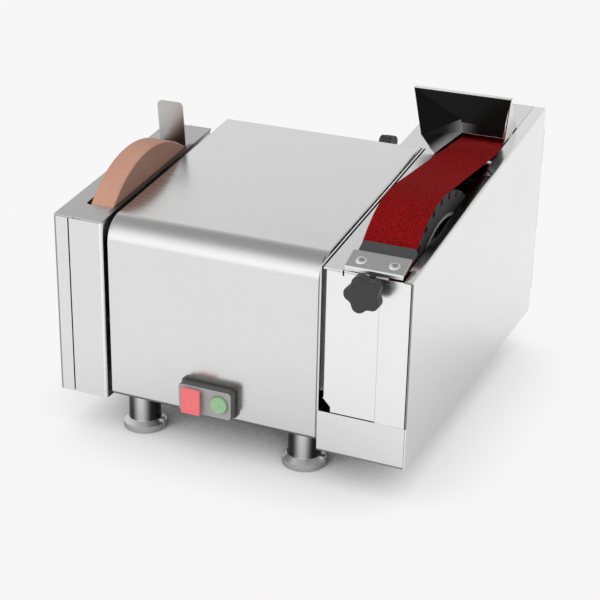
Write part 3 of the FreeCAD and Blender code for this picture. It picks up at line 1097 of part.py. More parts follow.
tension_stud_start = tension_right + TENSION_COLLAR - STUD_GRIP
tension_stud = rod(V(tension_stud_start, TENSION_Y, TENSION_Z), X_AXIS,
                   carriage_x1 + STUD_SHOW - tension_stud_start, STUD_DIA)
pieces["tension_knob"] = join([tension_star, tension_boss]).cut(tension_stud)
pieces["tension_stud"] = tension_stud

# Knife rest: bent bracket with a rubber pad under its plate, on a leg behind the front panel.
rest_z = BELT_HOUSING_TOP + REST_RISE
rest_length = REST_DEPTH / math.cos(math.radians(REST_TILT))


def tilted(shape):
    shape.rotate(V(0, 0, rest_z), X_AXIS, REST_TILT)
    return shape


screw_middle = (REST_LEFT + REST_RIGHT) / 2
screw_places = [screw_middle - REST_SCREW_SPACING / 2, screw_middle + REST_SCREW_SPACING / 2]
pad_low = rest_z - REST_PLATE - REST_PAD_THICK
shanks = [rod(V(x, REST_SCREW_BACK, pad_low), Z_AXIS, rest_z - pad_low, REST_SCREW_DIA) for x in screw_places]
rest_plate = tilted(box(REST_LEFT, REST_RIGHT, 0, rest_length, rest_z - REST_PLATE, rest_z).cut(shanks))
above_plate = tilted(box(REST_LEFT, REST_RIGHT, -REST_DEPTH, REST_DEPTH, rest_z, rest_z + REST_DEPTH))
rest_lip = box(REST_LEFT, REST_RIGHT, 0, REST_PLATE, rest_z - REST_LIP, rest_z).cut(above_plate)
rest_leg = box(leg_x0, leg_x0 + REST_LEG_WIDTH, rest_leg_y, rest_leg_y + REST_PLATE,
               rest_z - REST_LEG_DROP, rest_z)
leg_hole = rod(V(REST_KNOB_X, rest_leg_y, REST_KNOB_Z), Y_AXIS, REST_PLATE, STUD_DIA + 2 * RUN_FIT)
bracket = join([rest_plate, rest_lip])
lip_edges = [edge for edge in bracket.Edges
             if edge.BoundBox.YMax < SEAM and edge.BoundBox.ZMin > rest_z - SEAM]
bracket = bracket.makeFillet(REST_BEND, lip_edges)
pieces["rest_bracket"] = join([bracket, rest_leg.cut(above_plate)]).cut(leg_hole)
pad = box(REST_LEFT + REST_PAD_LEFT, REST_RIGHT - REST_PAD_RIGHT, REST_PAD_FRONT, rest_length + REST_PAD_OUT,
          pad_low, rest_z - REST_PLATE)
pad_corners = [edge for edge in upright_edges(pad) if edge.CenterOfMass.y > rest_length]
pieces["rest_pad"] = tilted(pad.makeFillet(REST_PAD_CORNER, pad_corners).cut(shanks))
dome_height = REST_SCREW_HEAD / 4
dome_radius = ((REST_SCREW_HEAD / 2) ** 2 + dome_height ** 2) / (2 * dome_height)
rest_screws = []
for x, shank in zip(screw_places, shanks):
    ball = Part.makeSphere(dome_radius, V(x, REST_SCREW_BACK, rest_z + dome_height - dome_radius))
    dome = ball.common(box(x - dome_radius, x + dome_radius,
                           REST_SCREW_BACK - dome_radius, REST_SCREW_BACK + dome_radius,
                           rest_z, rest_z + dome_radius))
    rest_screws.append(tilted(dome.fuse(shank)))
pieces["rest_screws"] = group(rest_screws)
nut_y = rest_leg_y + REST_PLATE
pieces["rest_nut"] = hexagon(V(REST_KNOB_X, nut_y, REST_KNOB_Z), Y_AXIS, STUD_NUT_ACROSS, STUD_NUT_THICK).cut(
    rod(V(REST_KNOB_X, nut_y, REST_KNOB_Z), Y_AXIS, STUD_NUT_THICK, STUD_DIA + 2 * RUN_FIT))

# Splash hood: folded facets behind the belt, black inside, standing on the top plate.
hood_y = OPENING_BACK - HOOD_AHEAD
hood_plane = top_at(BELT_HOUSING_TOP, hood_y)
hood_left_top = V(BOX_LEFT - SHEET / 2, hood_y, hood_plane + HOOD_RISE)
hood_right_top = V(top_x1 + 2 * SHEET - SEAM, hood_y, hood_plane + HOOD_RISE)
hood_left_fold = V(opening_x + HOOD_WING, hood_y, hood_plane + HOOD_FOLD)
hood_right_fold = V(top_x1 - HOOD_SHEET, hood_y, hood_plane + HOOD_FOLD)
hood_left_low = V(opening_x + HOOD_WING + HOOD_LOW_STEP, hood_y, hood_plane + HOOD_LOW)
hood_right_low = V(top_x1 - HOOD_SHEET, hood_y, hood_plane + HOOD_LOW)
wing_y = hood_y - HOOD_WING_REACH
hood_wing = V(BELT_LEFT - HOOD_WING_LEFT, wing_y, top_at(BELT_HOUSING_TOP, wing_y) + HOOD_WING_RISE)
foot_y = hood_y - HOOD_FOOT_REACH
hood_foot = V(opening_x - HOOD_SHEET / 2, foot_y, top_at(BELT_HOUSING_TOP, foot_y))
brim = V(0, HOOD_BRIM, 0)
gusset_y = hood_y + HOOD_GUSSET
gusset_front = V(top_x1 - HOOD_SHEET, hood_y - HOOD_SHEET / 2, top_at(BELT_HOUSING_TOP, hood_y))
gusset_back = V(top_x1 - HOOD_SHEET, gusset_y, top_at(BELT_HOUSING_TOP, gusset_y))


def facet(corners):
    """A flat sheet of the hood with its thickness shared to both sides of the corners' plane."""
    normal = (corners[1] - corners[0]).cross(corners[2] - corners[0])
    normal.normalize()
    shift = normal * (HOOD_SHEET / 2)
    return prism([corner - shift for corner in corners], shift * 2)


hood = join([
    facet([hood_left_top, hood_right_top, hood_right_fold, hood_left_fold]),
    facet([hood_left_fold, hood_right_fold, hood_right_low, hood_left_low]),
    facet([hood_left_top, hood_left_fold, hood_wing]),
    facet([hood_left_fold, hood_left_low, hood_wing]),
    facet([hood_wing, hood_left_low, hood_foot]),
    facet([hood_right_top, gusset_front, gusset_back]),
    facet([hood_left_top, hood_right_top, hood_right_top + brim, hood_left_top + brim]),
])
below_top = side_prism(
    [(0, 0), (BELT_HOUSING_DEPTH, 0), (BELT_HOUSING_DEPTH, top_at(BELT_HOUSING_TOP, BELT_HOUSING_DEPTH)),
     (0, BELT_HOUSING_TOP)], -FAR_LENGTH, BELT_RIGHT)
pieces["splash_hood"] = hood.cut(below_top)

# Spacers and bolts that carry the two housings on the chassis ends.
spacers = []
housing_bolts = []
for y, z in spacer_spots:
    for gap_x, gap in ((STONE_RIGHT, STONE_GAP), (COVER_WIDTH - under_cover, BELT_GAP)):
        spacers.append(ring(V(gap_x, y, z), X_AXIS, gap + under_cover, SPACER_DIA, SPACER_BOLT))
    for start, end, head_x in ((STONE_RIGHT - SHEET, left_inside, left_inside),
                               (right_inside, BELT_LEFT + SHEET, right_inside - BOLT_HEAD)):
        shank = rod(V(start, y, z), X_AXIS, end - start, SPACER_BOLT)
        housing_bolts.append(join([shank, rod(V(head_x, y, z), X_AXIS, BOLT_HEAD, BOLT_HEAD_DIA)]))
pieces["housing_spacers"] = group(spacers)
pieces["housing_bolts"] = group(housing_bolts)

# Move every piece to the library frame and write it.
box_middle_x = (STONE_LEFT + BELT_RIGHT) / 2
box_middle_y = (KNOB_FRONT + HINGE_Y + HINGE_RADIUS) / 2
to_origin = V(-box_middle_x, -box_middle_y, FOOT_HEIGHT)
os.makedirs("parts", exist_ok=True)
for name, shape in pieces.items():
    placed = shape.copy()
    placed.translate(to_origin)
    placed.exportStep(os.path.join("parts", name + ".step"))
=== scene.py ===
import math
import bmesh
import bpy
from mathutils import Matrix, Vector

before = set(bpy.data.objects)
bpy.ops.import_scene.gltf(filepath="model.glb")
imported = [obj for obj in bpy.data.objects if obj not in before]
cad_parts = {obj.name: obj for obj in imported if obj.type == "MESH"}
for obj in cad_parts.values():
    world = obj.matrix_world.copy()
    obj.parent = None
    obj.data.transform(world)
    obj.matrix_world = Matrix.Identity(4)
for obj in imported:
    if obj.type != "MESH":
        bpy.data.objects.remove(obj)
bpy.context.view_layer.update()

# Motor cover: one sheet of stainless steel folded from a hem under the front over a wide bend into the
# sloping top. It is belt-ground across the machine, so fine lines run from side to side. The chassis under
# it is the same steel, and the vented rear panel screws to its floor.


def put(tree, kind, **settings):
    made = tree.nodes.new(kind)
    for name, value in settings.items():
        setattr(made, name, value)
    return made


def join(tree, source, output, target, entry):
    tree.links.new(source.outputs[output], target.inputs[entry])


def new_group(name, inputs, outputs):
    """An empty shader group with its sockets, and its entry and exit nodes."""
    group = bpy.data.node_groups.new(name, "ShaderNodeTree")
    for label, kind, value in inputs:
        socket = group.interface.new_socket(label, in_out="INPUT", socket_type=kind)
        socket.default_value = value
    for label, kind in outputs:
        group.interface.new_socket(label, in_out="OUTPUT", socket_type=kind)
    return group, put(group, "NodeGroupInput"), put(group, "NodeGroupOutput")


SURFACE_OUTPUTS = [("Color", "NodeSocketColor"), ("Roughness", "NodeSocketFloat"),
                   ("Height", "NodeSocketFloat")]


def ground_steel_group():
    """Ground lines on sheet steel: a streaked tone between two colours, streaked gloss and fine relief."""
    group, entry, leave = new_group(
        "ground steel",
        [("Stretch", "NodeSocketVector", (12.0, 2600.0, 2600.0)),
         ("Dark", "NodeSocketColor", (0.55, 0.55, 0.55, 1)), ("Light", "NodeSocketColor", (0.7, 0.7, 0.7, 1)),
         ("Smooth", "NodeSocketFloat", 0.26), ("Rough", "NodeSocketFloat", 0.42)],
        SURFACE_OUTPUTS)
    place = put(group, "ShaderNodeTexCoord")
    stretched = put(group, "ShaderNodeVectorMath", operation="MULTIPLY")
    lines = put(group, "ShaderNodeTexNoise")
    lines.inputs["Scale"].default_value = 1.0
    lines.inputs["Detail"].default_value = 3.0
    lines.inputs["Roughness"].default_value = 0.65
    cloud = put(group, "ShaderNodeTexNoise")
    cloud.inputs["Scale"].default_value = 14.0
    cloud.inputs["Detail"].default_value = 3.0
    cloud_share = 0.35
    blend = put(group, "ShaderNodeMath", operation="MULTIPLY_ADD")
    blend.inputs[1].default_value = cloud_share
    tone = put(group, "ShaderNodeMapRange")
    tone.inputs["From Min"].default_value = 0.42
    tone.inputs["From Max"].default_value = 0.93
    colour = put(group, "ShaderNodeMix", data_type="RGBA")
    gloss = put(group, "ShaderNodeMapRange")
    gloss.inputs["From Min"].default_value = 0.3
    gloss.inputs["From Max"].default_value = 0.7
    join(group, place, "Object", stretched, 0)
    join(group, entry, "Stretch", stretched, 1)
    join(group, stretched, "Vector", lines, "Vector")
    join(group, place, "Object", cloud, "Vector")
    join(group, cloud, "Fac", blend, 0)
    join(group, lines, "Fac", blend, 2)
    join(group, blend, "Value", tone, "Value")
    join(group, tone, "Result", colour, "Factor")
    join(group, entry, "Dark", colour, "A")
    join(group, entry, "Light", colour, "B")
    join(group, lines, "Fac", gloss, "Value")
    join(group, entry, "Smooth", gloss, "To Min")
    join(group, entry, "Rough", gloss, "To Max")
    join(group, colour, "Result", leave, "Color")
    join(group, gloss, "Result", leave, "Roughness")
    join(group, lines, "Fac", leave, "Height")
    return group


ground_steel = ground_steel_group()


def finish_with(name, group, values, metallic, relief, **shader_values):
    """A material whose colour, roughness and relief come from a shared group with its own values."""
    material = bpy.data.materials.new(name)
    material.use_nodes = True
    tree = material.node_tree
    shader = tree.nodes["Principled BSDF"]
    surface = put(tree, "ShaderNodeGroup", node_tree=group, name="surface")
    for label, value in values.items():
        surface.inputs[label].default_value = value
    strength, depth = relief
    bump = put(tree, "ShaderNodeBump")
    bump.inputs["Strength"].default_value = strength
    bump.inputs["Distance"].default_value = depth
    shader.inputs["Metallic"].default_value = metallic
    for label, value in shader_values.items():
        shader.inputs[label.replace("_", " ")].default_value = value
    join(tree, surface, "Color", shader, "Base Color")
    join(tree, surface, "Roughness", shader, "Roughness")
    join(tree, surface, "Height", bump, "Height")
    join(tree, bump, "Normal", shader, "Normal")
    return material


ACROSS = (10.0, 2400.0, 2400.0)
LENGTHWISE = (2400.0, 10.0, 2400.0)
STEEL_RELIEF = (0.06, 0.0001)
BRUSHED = (0.19, 0.29)


def grey(tone):
    return (tone, tone, tone, 1)


def steel(name, tone, stretch=ACROSS, spread=0.03, gloss=BRUSHED):
    """Ground stainless steel of a given brightness, with its lines along one direction."""
    smooth, rough = gloss
    values = {"Stretch": stretch, "Dark": grey(tone - spread), "Light": grey(tone + spread),
              "Smooth": smooth, "Rough": rough}
    return finish_with(name, ground_steel, values, 1.0, STEEL_RELIEF)


def dress(material, *nodes):
    for name in nodes:
        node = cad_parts[name]
        node.data.materials.clear()
        node.data.materials.append(material)


RIGHTWARD = (1.0, 0.0, 0.0)
LEFTWARD = (-1.0, 0.0, 0.0)
FRONTWARD = (0.0, -1.0, 0.0)
UPWARD = (0.0, 0.0, 1.0)


def limit_group(reading):
    """How far a surface's place or facing along a direction has come, from a start to where it is full."""
    group, entry, leave = new_group(
        reading + " limit",
        [("Direction", "NodeSocketVector", UPWARD), ("Start", "NodeSocketFloat", 0.0),
         ("Full", "NodeSocketFloat", 1.0)],
        [("Share", "NodeSocketFloat")])
    along = put(group, "ShaderNodeVectorMath", operation="DOT_PRODUCT")
    share = put(group, "ShaderNodeMapRange", interpolation_type="SMOOTHSTEP")
    if reading == "place":
        place = put(group, "ShaderNodeTexCoord")
        join(group, place, "Object", along, 0)
    else:
        surface = put(group, "ShaderNodeNewGeometry")
        turned = put(group, "ShaderNodeVectorTransform", vector_type="NORMAL", convert_from="WORLD",
                     convert_to="OBJECT")
        join(group, surface, "True Normal", turned, 0)
        join(group, turned, "Vector", along, 0)
    join(group, entry, "Direction", along, 1)
    join(group, along, "Value", share, "Value")
    join(group, entry, "Start", share, "From Min")
    join(group, entry, "Full", share, "From Max")
    join(group, share, "Result", leave, "Share")
    return group


limit_groups = {"place": limit_group("place"), "facing": limit_group("facing")}


def masked(tree, limits):
    """The product of limits, each given as its reading, its direction, its start and where it is full."""
    amount = None
    for reading, direction, start, full in limits:
        limit = put(tree, "ShaderNodeGroup", node_tree=limit_groups[reading])
        limit.inputs["Direction"].default_value = direction
        limit.inputs["Start"].default_value = start
        limit.inputs["Full"].default_value = full
        if amount:
            product = put(tree, "ShaderNodeMath", operation="MULTIPLY")
            tree.links.new(amount, product.inputs[0])
            join(tree, limit, "Share", product, 1)
            amount = product.outputs["Value"]
        else:
            amount = limit.outputs["Share"]
    return amount


def shade(material, tint, *limits):
    """Painted shade or highlight: multiply a material's colour by a tint where all the limits hold."""
    tree = material.node_tree
    base = tree.nodes["Principled BSDF"].inputs["Base Color"]
    shaded = put(tree, "ShaderNodeMix", data_type="RGBA", blend_type="MULTIPLY")
    shaded.inputs["B"].default_value = tint
    tree.links.new(base.links[0].from_socket, shaded.inputs["A"])
    tree.links.new(masked(tree, limits), shaded.inputs["Factor"])
    join(tree, shaded, "Result", tree.nodes["Principled BSDF"], "Base Color")


LOOKS_RIGHT = ("facing", RIGHTWARD, 0.75, 0.95)
LOOKS_LEFT = ("facing", LEFTWARD, 0.75, 0.95)
SEAM_SHADE = grey(0.2)
LEFT_END_SHADE = grey(0.5)
HEM_SHADE = grey(0.25)
HEM = ("place", UPWARD, 0.0465, 0.0452)
END_LINE_SHADE = grey(0.3)
END_LINE = (("facing", FRONTWARD, 0.3, 0.6), ("place", RIGHTWARD, 0.0877, 0.0881),
            ("place", LEFTWARD, -0.0893, -0.0889))
cover_steel = steel("cover steel", tone=0.79)
shade(cover_steel, SEAM_SHADE, LOOKS_RIGHT)
shade(cover_steel, LEFT_END_SHADE, LOOKS_LEFT)
shade(cover_steel, HEM_SHADE, HEM)
shade(cover_steel, END_LINE_SHADE, *END_LINE)
dress(cover_steel, "motor_cover")
dress(steel("chassis steel", tone=0.5, stretch=LENGTHWISE), "chassis")
dress(steel("rear panel steel", tone=0.68), "rear_panel")
ROUND = (300.0, 300.0, 2600.0)
PLATED = (0.14, 0.24)
fastener_steel = steel("fastener steel", tone=0.66, stretch=ROUND, spread=0.05, gloss=PLATED)
dress(fastener_steel, "rear_panel_screws")

# Feet: turned and polished steel tubes on chamfered satin flanges, each with a small lug. A bolt through the
# chassis floor holds each one, so the heads show only from inside.
TURNED = (0.1, 0.16)
SATIN = (0.3, 0.4)
TUBE_SIDES = (("facing", (0.97, 0.25, 0.0), 0.05, 0.62), ("facing", (-0.97, -0.25, 0.0), 0.05, 0.62))
TUBE_SIDE_SHADE = grey(0.06)
tube_steel = steel("turned tube", tone=0.82, stretch=ROUND, gloss=TURNED)
for side in TUBE_SIDES:
    shade(tube_steel, TUBE_SIDE_SHADE, side)
dress(tube_steel, "foot_tubes")
dress(steel("satin foot steel", tone=0.72, stretch=ROUND, gloss=SATIN), "foot_flanges")
dress(fastener_steel, "foot_bolts")

# Motor: a finned stator in a painted shell between two cast end shields, on a steel cradle. It hides under
# the cover with its capacitor, and only the vents in the rear panel give a view of it.


def mottle_group():
    """The slight mottle of a cast, moulded or painted surface between two colours, with a fine relief."""
    group, entry, leave = new_group(
        "mottle",
        [("Scale", "NodeSocketFloat", 400.0), ("Dark", "NodeSocketColor", (0.2, 0.2, 0.2, 1)),
         ("Light", "NodeSocketColor", (0.3, 0.3, 0.3, 1)), ("Smooth", "NodeSocketFloat", 0.4),
         ("Rough", "NodeSocketFloat", 0.6), ("Clouds", "NodeSocketFloat", 0.35)],
        SURFACE_OUTPUTS)
    place = put(group, "ShaderNodeTexCoord")
    grain = put(group, "ShaderNodeTexNoise")
    grain.inputs["Detail"].default_value = 4.0
    cloud = put(group, "ShaderNodeTexNoise")
    cloud.inputs["Scale"].default_value = 35.0
    mix = put(group, "ShaderNodeMix", data_type="FLOAT")
    tone = put(group, "ShaderNodeMapRange")
    tone.inputs["From Min"].default_value = 0.33
    tone.inputs["From Max"].default_value = 0.67
    colour = put(group, "ShaderNodeMix", data_type="RGBA")
    gloss = put(group, "ShaderNodeMapRange")
    gloss.inputs["From Min"].default_value = 0.33
    gloss.inputs["From Max"].default_value = 0.67
    join(group, place, "Object", grain, "Vector")
    join(group, place, "Object", cloud, "Vector")
    join(group, entry, "Scale", grain, "Scale")
    join(group, entry, "Clouds", mix, "Factor")
    join(group, grain, "Fac", mix, "A")
    join(group, cloud, "Fac", mix, "B")
    join(group, mix, "Result", tone, "Value")
    join(group, tone, "Result", colour, "Factor")
    join(group, entry, "Dark", colour, "A")
    join(group, entry, "Light", colour, "B")
    join(group, mix, "Result", gloss, "Value")
    join(group, entry, "Smooth", gloss, "To Min")
    join(group, entry, "Rough", gloss, "To Max")
    join(group, colour, "Result", leave, "Color")
    join(group, gloss, "Result", leave, "Roughness")
    join(group, grain, "Fac", leave, "Height")
    return group


mottle = mottle_group()
MOULDED_RELIEF = (0.1, 0.0002)


def mottled(name, dark, light, grain, gloss, metallic=0.0, relief=MOULDED_RELIEF, **shader_values):
    """A moulded, cast or painted surface whose tone wanders between two colours."""
    smooth, rough = gloss
    values = {"Scale": grain, "Dark": (*dark, 1), "Light": (*light, 1), "Smooth": smooth, "Rough": rough}
    return finish_with(name, mottle, values, metallic, relief, **shader_values)


SEMI_MATT = (0.35, 0.5)
AS_CAST = (0.35, 0.55)
SEMI_GLOSS = (0.25, 0.4)
motor_paint = mottled("motor paint", dark=(0.045, 0.06, 0.075), light=(0.07, 0.085, 0.1), grain=700.0,
                      gloss=SEMI_MATT)
cast_alloy = mottled("cast alloy", dark=(0.42, 0.42, 0.43), light=(0.58, 0.58, 0.59), grain=900.0,
                     gloss=AS_CAST, metallic=1.0)
capacitor_can = mottled("capacitor can", dark=(0.6, 0.6, 0.58), light=(0.7, 0.7, 0.68), grain=300.0,
                        gloss=SEMI_GLOSS)
black_plastic = mottled("black plastic", dark=(0.022, 0.022, 0.023), light=(0.04, 0.04, 0.042), grain=1500.0,
                        gloss=SEMI_MATT)
dress(motor_paint, "motor_stator", "motor_cradle")
dress(cast_alloy, "motor_end_shields")
dress(fastener_steel, "motor_bearings")
dress(steel("rotor laminations", tone=0.4, stretch=LENGTHWISE, spread=0.08), "motor_rotor")
dress(capacitor_can, "motor_capacitor")
dress(black_plastic, "cable_gland")

# Start and stop switch: a dark moulded housing on a flange, with a grey face plate and contact block.
# A red stop button stands proud on the left, and a round green start button sits in the plate on the right.
MOULDED = (0.3, 0.45)
SHINY = (0.2, 0.35)
FACE_SIDES = ("facing", FRONTWARD, 0.9, 0.6)
FACE_SIDE_SHADE = grey(0.2)
switch_dark = mottled("switch dark", dark=(0.05, 0.049, 0.046), light=(0.075, 0.072, 0.068), grain=1300.0,
                      gloss=SEMI_MATT)
switch_grey = mottled("switch grey", dark=(0.31, 0.30, 0.30), light=(0.38, 0.365, 0.365), grain=1300.0,
                      gloss=MOULDED)
stop_red = mottled("stop red", dark=(0.76, 0.13, 0.14), light=(0.86, 0.19, 0.2), grain=900.0, gloss=SHINY)
start_green = mottled("start green", dark=(0.24, 0.44, 0.22), light=(0.33, 0.53, 0.3), grain=900.0,
                      gloss=SHINY)
shade(switch_grey, FACE_SIDE_SHADE, FACE_SIDES)
dress(switch_dark, "switch_housing", "switch_block")
dress(switch_grey, "switch_face")
dress(stop_red, "stop_button")
dress(start_green, "start_button")

# Stone housing: front, back, floor and right wall folded from one sheet, a sloping top with the stone's slot,
# and a side cover that pulls off to the left. The water tray stands inside, a splash plate stands behind the
# slot on two tabs, and bolts through spacers hold both housings to the chassis ends.
LOOKS_AHEAD = ("facing", FRONTWARD, 0.6, 0.9)
RIGHT_BEND = ("place", RIGHTWARD, -0.1296, -0.1292)
RIGHT_BEND_GLINT = grey(1.2)
housing_steel = steel("housing steel", tone=0.8)
shade(housing_steel, RIGHT_BEND_GLINT, LOOKS_AHEAD, RIGHT_BEND)
dress(housing_steel, "stone_housing")
LEFT_BEND = ("place", LEFTWARD, 0.1752, 0.1758)
LEFT_BEND_SHADE = grey(0.4)
side_cover_steel = steel("side cover steel", tone=0.8)
shade(side_cover_steel, LEFT_BEND_SHADE, LOOKS_AHEAD, LEFT_BEND)
dress(side_cover_steel, "stone_side_cover")
BACKWARD = (0.0, 1.0, 0.0)
DULL = (0.34, 0.44)
BESIDE_STONE = (("place", RIGHTWARD, -0.1312, -0.1308), ("place", BACKWARD, -0.17, -0.16),
                ("place", FRONTWARD, 0.0, 0.01))
BESIDE_STONE_SHADE = grey(0.35)
sloping_steel = steel("sloping top steel", tone=0.6, gloss=DULL)
shade(sloping_steel, BESIDE_STONE_SHADE, *BESIDE_STONE)
dress(sloping_steel, "stone_housing_top")
dress(steel("tray steel", tone=0.6, stretch=LENGTHWISE), "stone_water_tray")
UPRIGHT = (2400.0, 2400.0, 10.0)
LOWER_RIGHT = ("place", (0.78, 0.0, -0.63), -0.2815, -0.262)
LOWER_RIGHT_SHADE = grey(0.16)
splash_steel = steel("splash steel", tone=0.56, stretch=UPRIGHT, spread=0.04, gloss=DULL)
shade(splash_steel, LOWER_RIGHT_SHADE, LOWER_RIGHT)
dress(splash_steel, "stone_splash_plate")
RUBBERY = (0.55, 0.75)
rubber = mottled("rubber", dark=(0.035, 0.035, 0.036), light=(0.06, 0.06, 0.062), grain=1100.0, gloss=RUBBERY)
dress(rubber, "stone_shaft_seal")
dress(fastener_steel, "housing_spacers", "housing_bolts")

# Grinding stone: a fine vitrified salmon wheel, whose sides are darkened to brown by painted shade.
# Two thin flanges and a nut clamp it on the spindle.


def shade_sides(material, tint, *limits):
    """Paint shade on the faces that look to the right or to the left, where all the limits hold."""
    for looks_sideways in (LOOKS_RIGHT, LOOKS_LEFT):
        shade(material, tint, looks_sideways, *limits)


STONE_RELIEF = (0.25, 0.0003)
STONY = (0.8, 0.95)
STONE_SIDE_SHADE = (0.54, 0.55, 0.57, 1)
stone = mottled("grinding stone", dark=(0.50, 0.26, 0.18), light=(0.62, 0.34, 0.25), grain=2600.0,
                gloss=STONY, relief=STONE_RELIEF)
# painted shade: the stone's sides are darkened to the brown they show in the shadow of the slot
shade_sides(stone, STONE_SIDE_SHADE)
dress(stone, "grinding_stone")
dress(fastener_steel, "spindle_shaft", "stone_flanges", "stone_nut")

# Belt housing: ground sheet round the belt. The front panel is slotted for the knife rest and cut at its
# corner, the tank's front strip shows below it, and the right side is a door on a rear hinge.
FINE_SPREAD = 0.02
CUT_END_SHADE = grey(0.45)
front_steel = steel("front panel steel", tone=0.92, spread=FINE_SPREAD)
shade_sides(front_steel, CUT_END_SHADE)
dress(front_steel, "belt_housing_front")
REAR_BOX_FRONT = 0.067
SEAM_FADE = 0.0004
BESIDE_COVER = ("place", BACKWARD, REAR_BOX_FRONT, REAR_BOX_FRONT - SEAM_FADE)
wall_steel = steel("belt wall steel", tone=0.78, stretch=LENGTHWISE)
shade_sides(wall_steel, SEAM_SHADE, BESIDE_COVER)
dress(wall_steel, "belt_housing_wall", "belt_housing_back", "door_hinge_leaf")
FRONT_LIP = (("facing", FRONTWARD, 0.4, 0.7), ("place", UPWARD, 0.076, 0.078))
FRONT_LIP_SHADE = grey(0.35)
TOP_RAIL = (("facing", UPWARD, 0.6, 0.8), ("place", LEFTWARD, -0.1739, -0.1736),
            ("place", BACKWARD, -0.15, -0.12), ("place", FRONTWARD, -0.034, -0.033))
TOP_RAIL_SHADE = grey(0.08)
DOOR_INSIDE_SHADE = grey(0.5)
door_steel = steel("door steel", tone=0.86, stretch=LENGTHWISE, spread=FINE_SPREAD)
shade(door_steel, FRONT_LIP_SHADE, *FRONT_LIP)
shade(door_steel, TOP_RAIL_SHADE, *TOP_RAIL)
shade(door_steel, DOOR_INSIDE_SHADE, LOOKS_LEFT)
dress(door_steel, "belt_door")
dress(steel("belt top steel", tone=0.86, gloss=SATIN), "belt_housing_top")
TANK_FOOT = ("place", UPWARD, 0.039, 0.0382)
TANK_FOOT_SHADE = grey(0.3)
tank_steel = steel("tank steel", tone=0.86, spread=FINE_SPREAD)
shade(tank_steel, TANK_FOOT_SHADE, LOOKS_AHEAD, TANK_FOOT)
dress(tank_steel, "belt_water_tank")
dress(fastener_steel, "door_hinge_pin")
dress(rubber, "tank_drain_plug", "belt_shaft_seal")

# Contact wheel: a cast alloy hub with a rubber tyre vulcanised on it, cut with slanting grooves.
# It sits on the right end of the spindle and carries the belt at the front of the housing.
TURNED_ALLOY = (0.4, 0.55)
TYRE_DULL = (0.5, 0.65)
hub_alloy = mottled("turned hub", dark=(0.34, 0.34, 0.34), light=(0.42, 0.42, 0.42), grain=900.0,
                    gloss=TURNED_ALLOY, metallic=0.4)
dress(hub_alloy, "contact_wheel_hub")
tyre_rubber = mottled("tyre rubber", dark=(0.02, 0.02, 0.021), light=(0.03, 0.03, 0.031), grain=1100.0,
                      gloss=TYRE_DULL, Specular_IOR_Level=0.2)
dress(tyre_rubber, "contact_wheel_tyre")
dress(fastener_steel, "contact_wheel_nut")

# Abrasive belt: cloth coated with red grain, joined into a loop round the contact wheel and the idler.
# The grain is dense and sharp, so the belt is dull, deep red and speckled.
GRAIN_RELIEF = (0.5, 0.0004)
GRITTY = (0.85, 1.0)
FAINT_CLOUDS = 0.06
abrasive = mottled("abrasive grain", dark=(0.085, 0.001, 0.001), light=(0.345, 0.008, 0.009), grain=820.0,
                   gloss=GRITTY, relief=GRAIN_RELIEF, Specular_IOR_Level=0.08)
abrasive.node_tree.nodes["surface"].inputs["Clouds"].default_value = FAINT_CLOUDS
dress(abrasive, "abrasive_belt")

# Belt tensioner: a steel carriage with a guide pin slides behind the housing wall and carries the idler
# roller on its axle. A star knob outside clamps it through a slot.
POLISHED = (0.08, 0.14)
dress(steel("carriage steel", tone=0.6, stretch=LENGTHWISE), "tension_carriage")
dress(steel("polished steel", tone=0.5, stretch=ROUND, gloss=POLISHED), "idler_roller")
dress(fastener_steel, "idler_axle", "idler_bearings", "idler_clip", "tension_stud")
KNOB_DULL = (0.45, 0.6)
knob_plastic = mottled("knob plastic", dark=(0.023, 0.023, 0.024), light=(0.034, 0.034, 0.035), grain=1600.0,
                       gloss=KNOB_DULL)
dress(knob_plastic, "tension_knob")

# Knife rest: a bent steel bracket with a rubber pad screwed under it, on a leg behind the front panel.
# Its star knob clamps it at a height, and two domed screws hold the pad.
FINE_SATIN = (0.24, 0.34)
dress(steel("bracket steel", tone=0.78, gloss=FINE_SATIN), "rest_bracket")
pad_rubber = mottled("pad rubber", dark=(0.045, 0.045, 0.046), light=(0.065, 0.065, 0.067), grain=1100.0,
                     gloss=RUBBERY)
dress(pad_rubber, "rest_pad")
dress(knob_plastic, "rest_knob")
dress(fastener_steel, "rest_stud", "rest_nut", "rest_screws")

# Splash hood: thin folded sheet behind the belt, bare steel outside and painted black inside.
# Its cut edges and brim stay bare, and bare patches low down are painted reflections in the black.
PAINT_SIDE = (0.3, -0.85, 0.43)
TOWARDS_WING = (0.989, 0.0, -0.148)
INSIDE = (("facing", PAINT_SIDE, 0.58, 0.6), ("place", UPWARD, 0.2987, 0.2986),
          ("place", TOWARDS_WING, 0.1217, 0.1214))
FOLD_LIPS = (("facing", (-0.298, -0.074, 0.955), 0.98, 0.99), ("facing", (0.656, -0.373, -0.657), 0.98, 0.99),
             ("facing", RIGHTWARD, 0.998, 0.999))
LOWEST_FACET = (0.37, -0.34, 0.86)
MIDDLE_FACET = (0.69, -0.71, 0.16)
TOWARDS_BELT = (0.952, -0.303, 0.0)
# painted reflection: patches where the black paint is left off, so that the bare steel brightens the facet
REFLECTION_PATCHES = (
    [("facing", LOWEST_FACET, 0.975, 0.985), ("place", TOWARDS_BELT, 0.0725, 0.0915)],
    [("facing", MIDDLE_FACET, 0.98, 0.99), ("place", RIGHTWARD, 0.104, 0.15)],
    [("facing", FRONTWARD, 0.98, 0.99), ("place", UPWARD, 0.2697, 0.2692),
     ("place", LEFTWARD, -0.1375, -0.07)],
)
PAINT_BLACK = grey(0.004)
PAINT_ROUGHNESS = 0.22
PAINT_SPECULAR = 0.12
hood = steel("hood sheet", tone=0.78)
tree = hood.node_tree
shader = tree.nodes["Principled BSDF"]
shader.inputs["Specular IOR Level"].default_value = PAINT_SPECULAR
surface = tree.nodes["surface"]
paint = masked(tree, INSIDE)
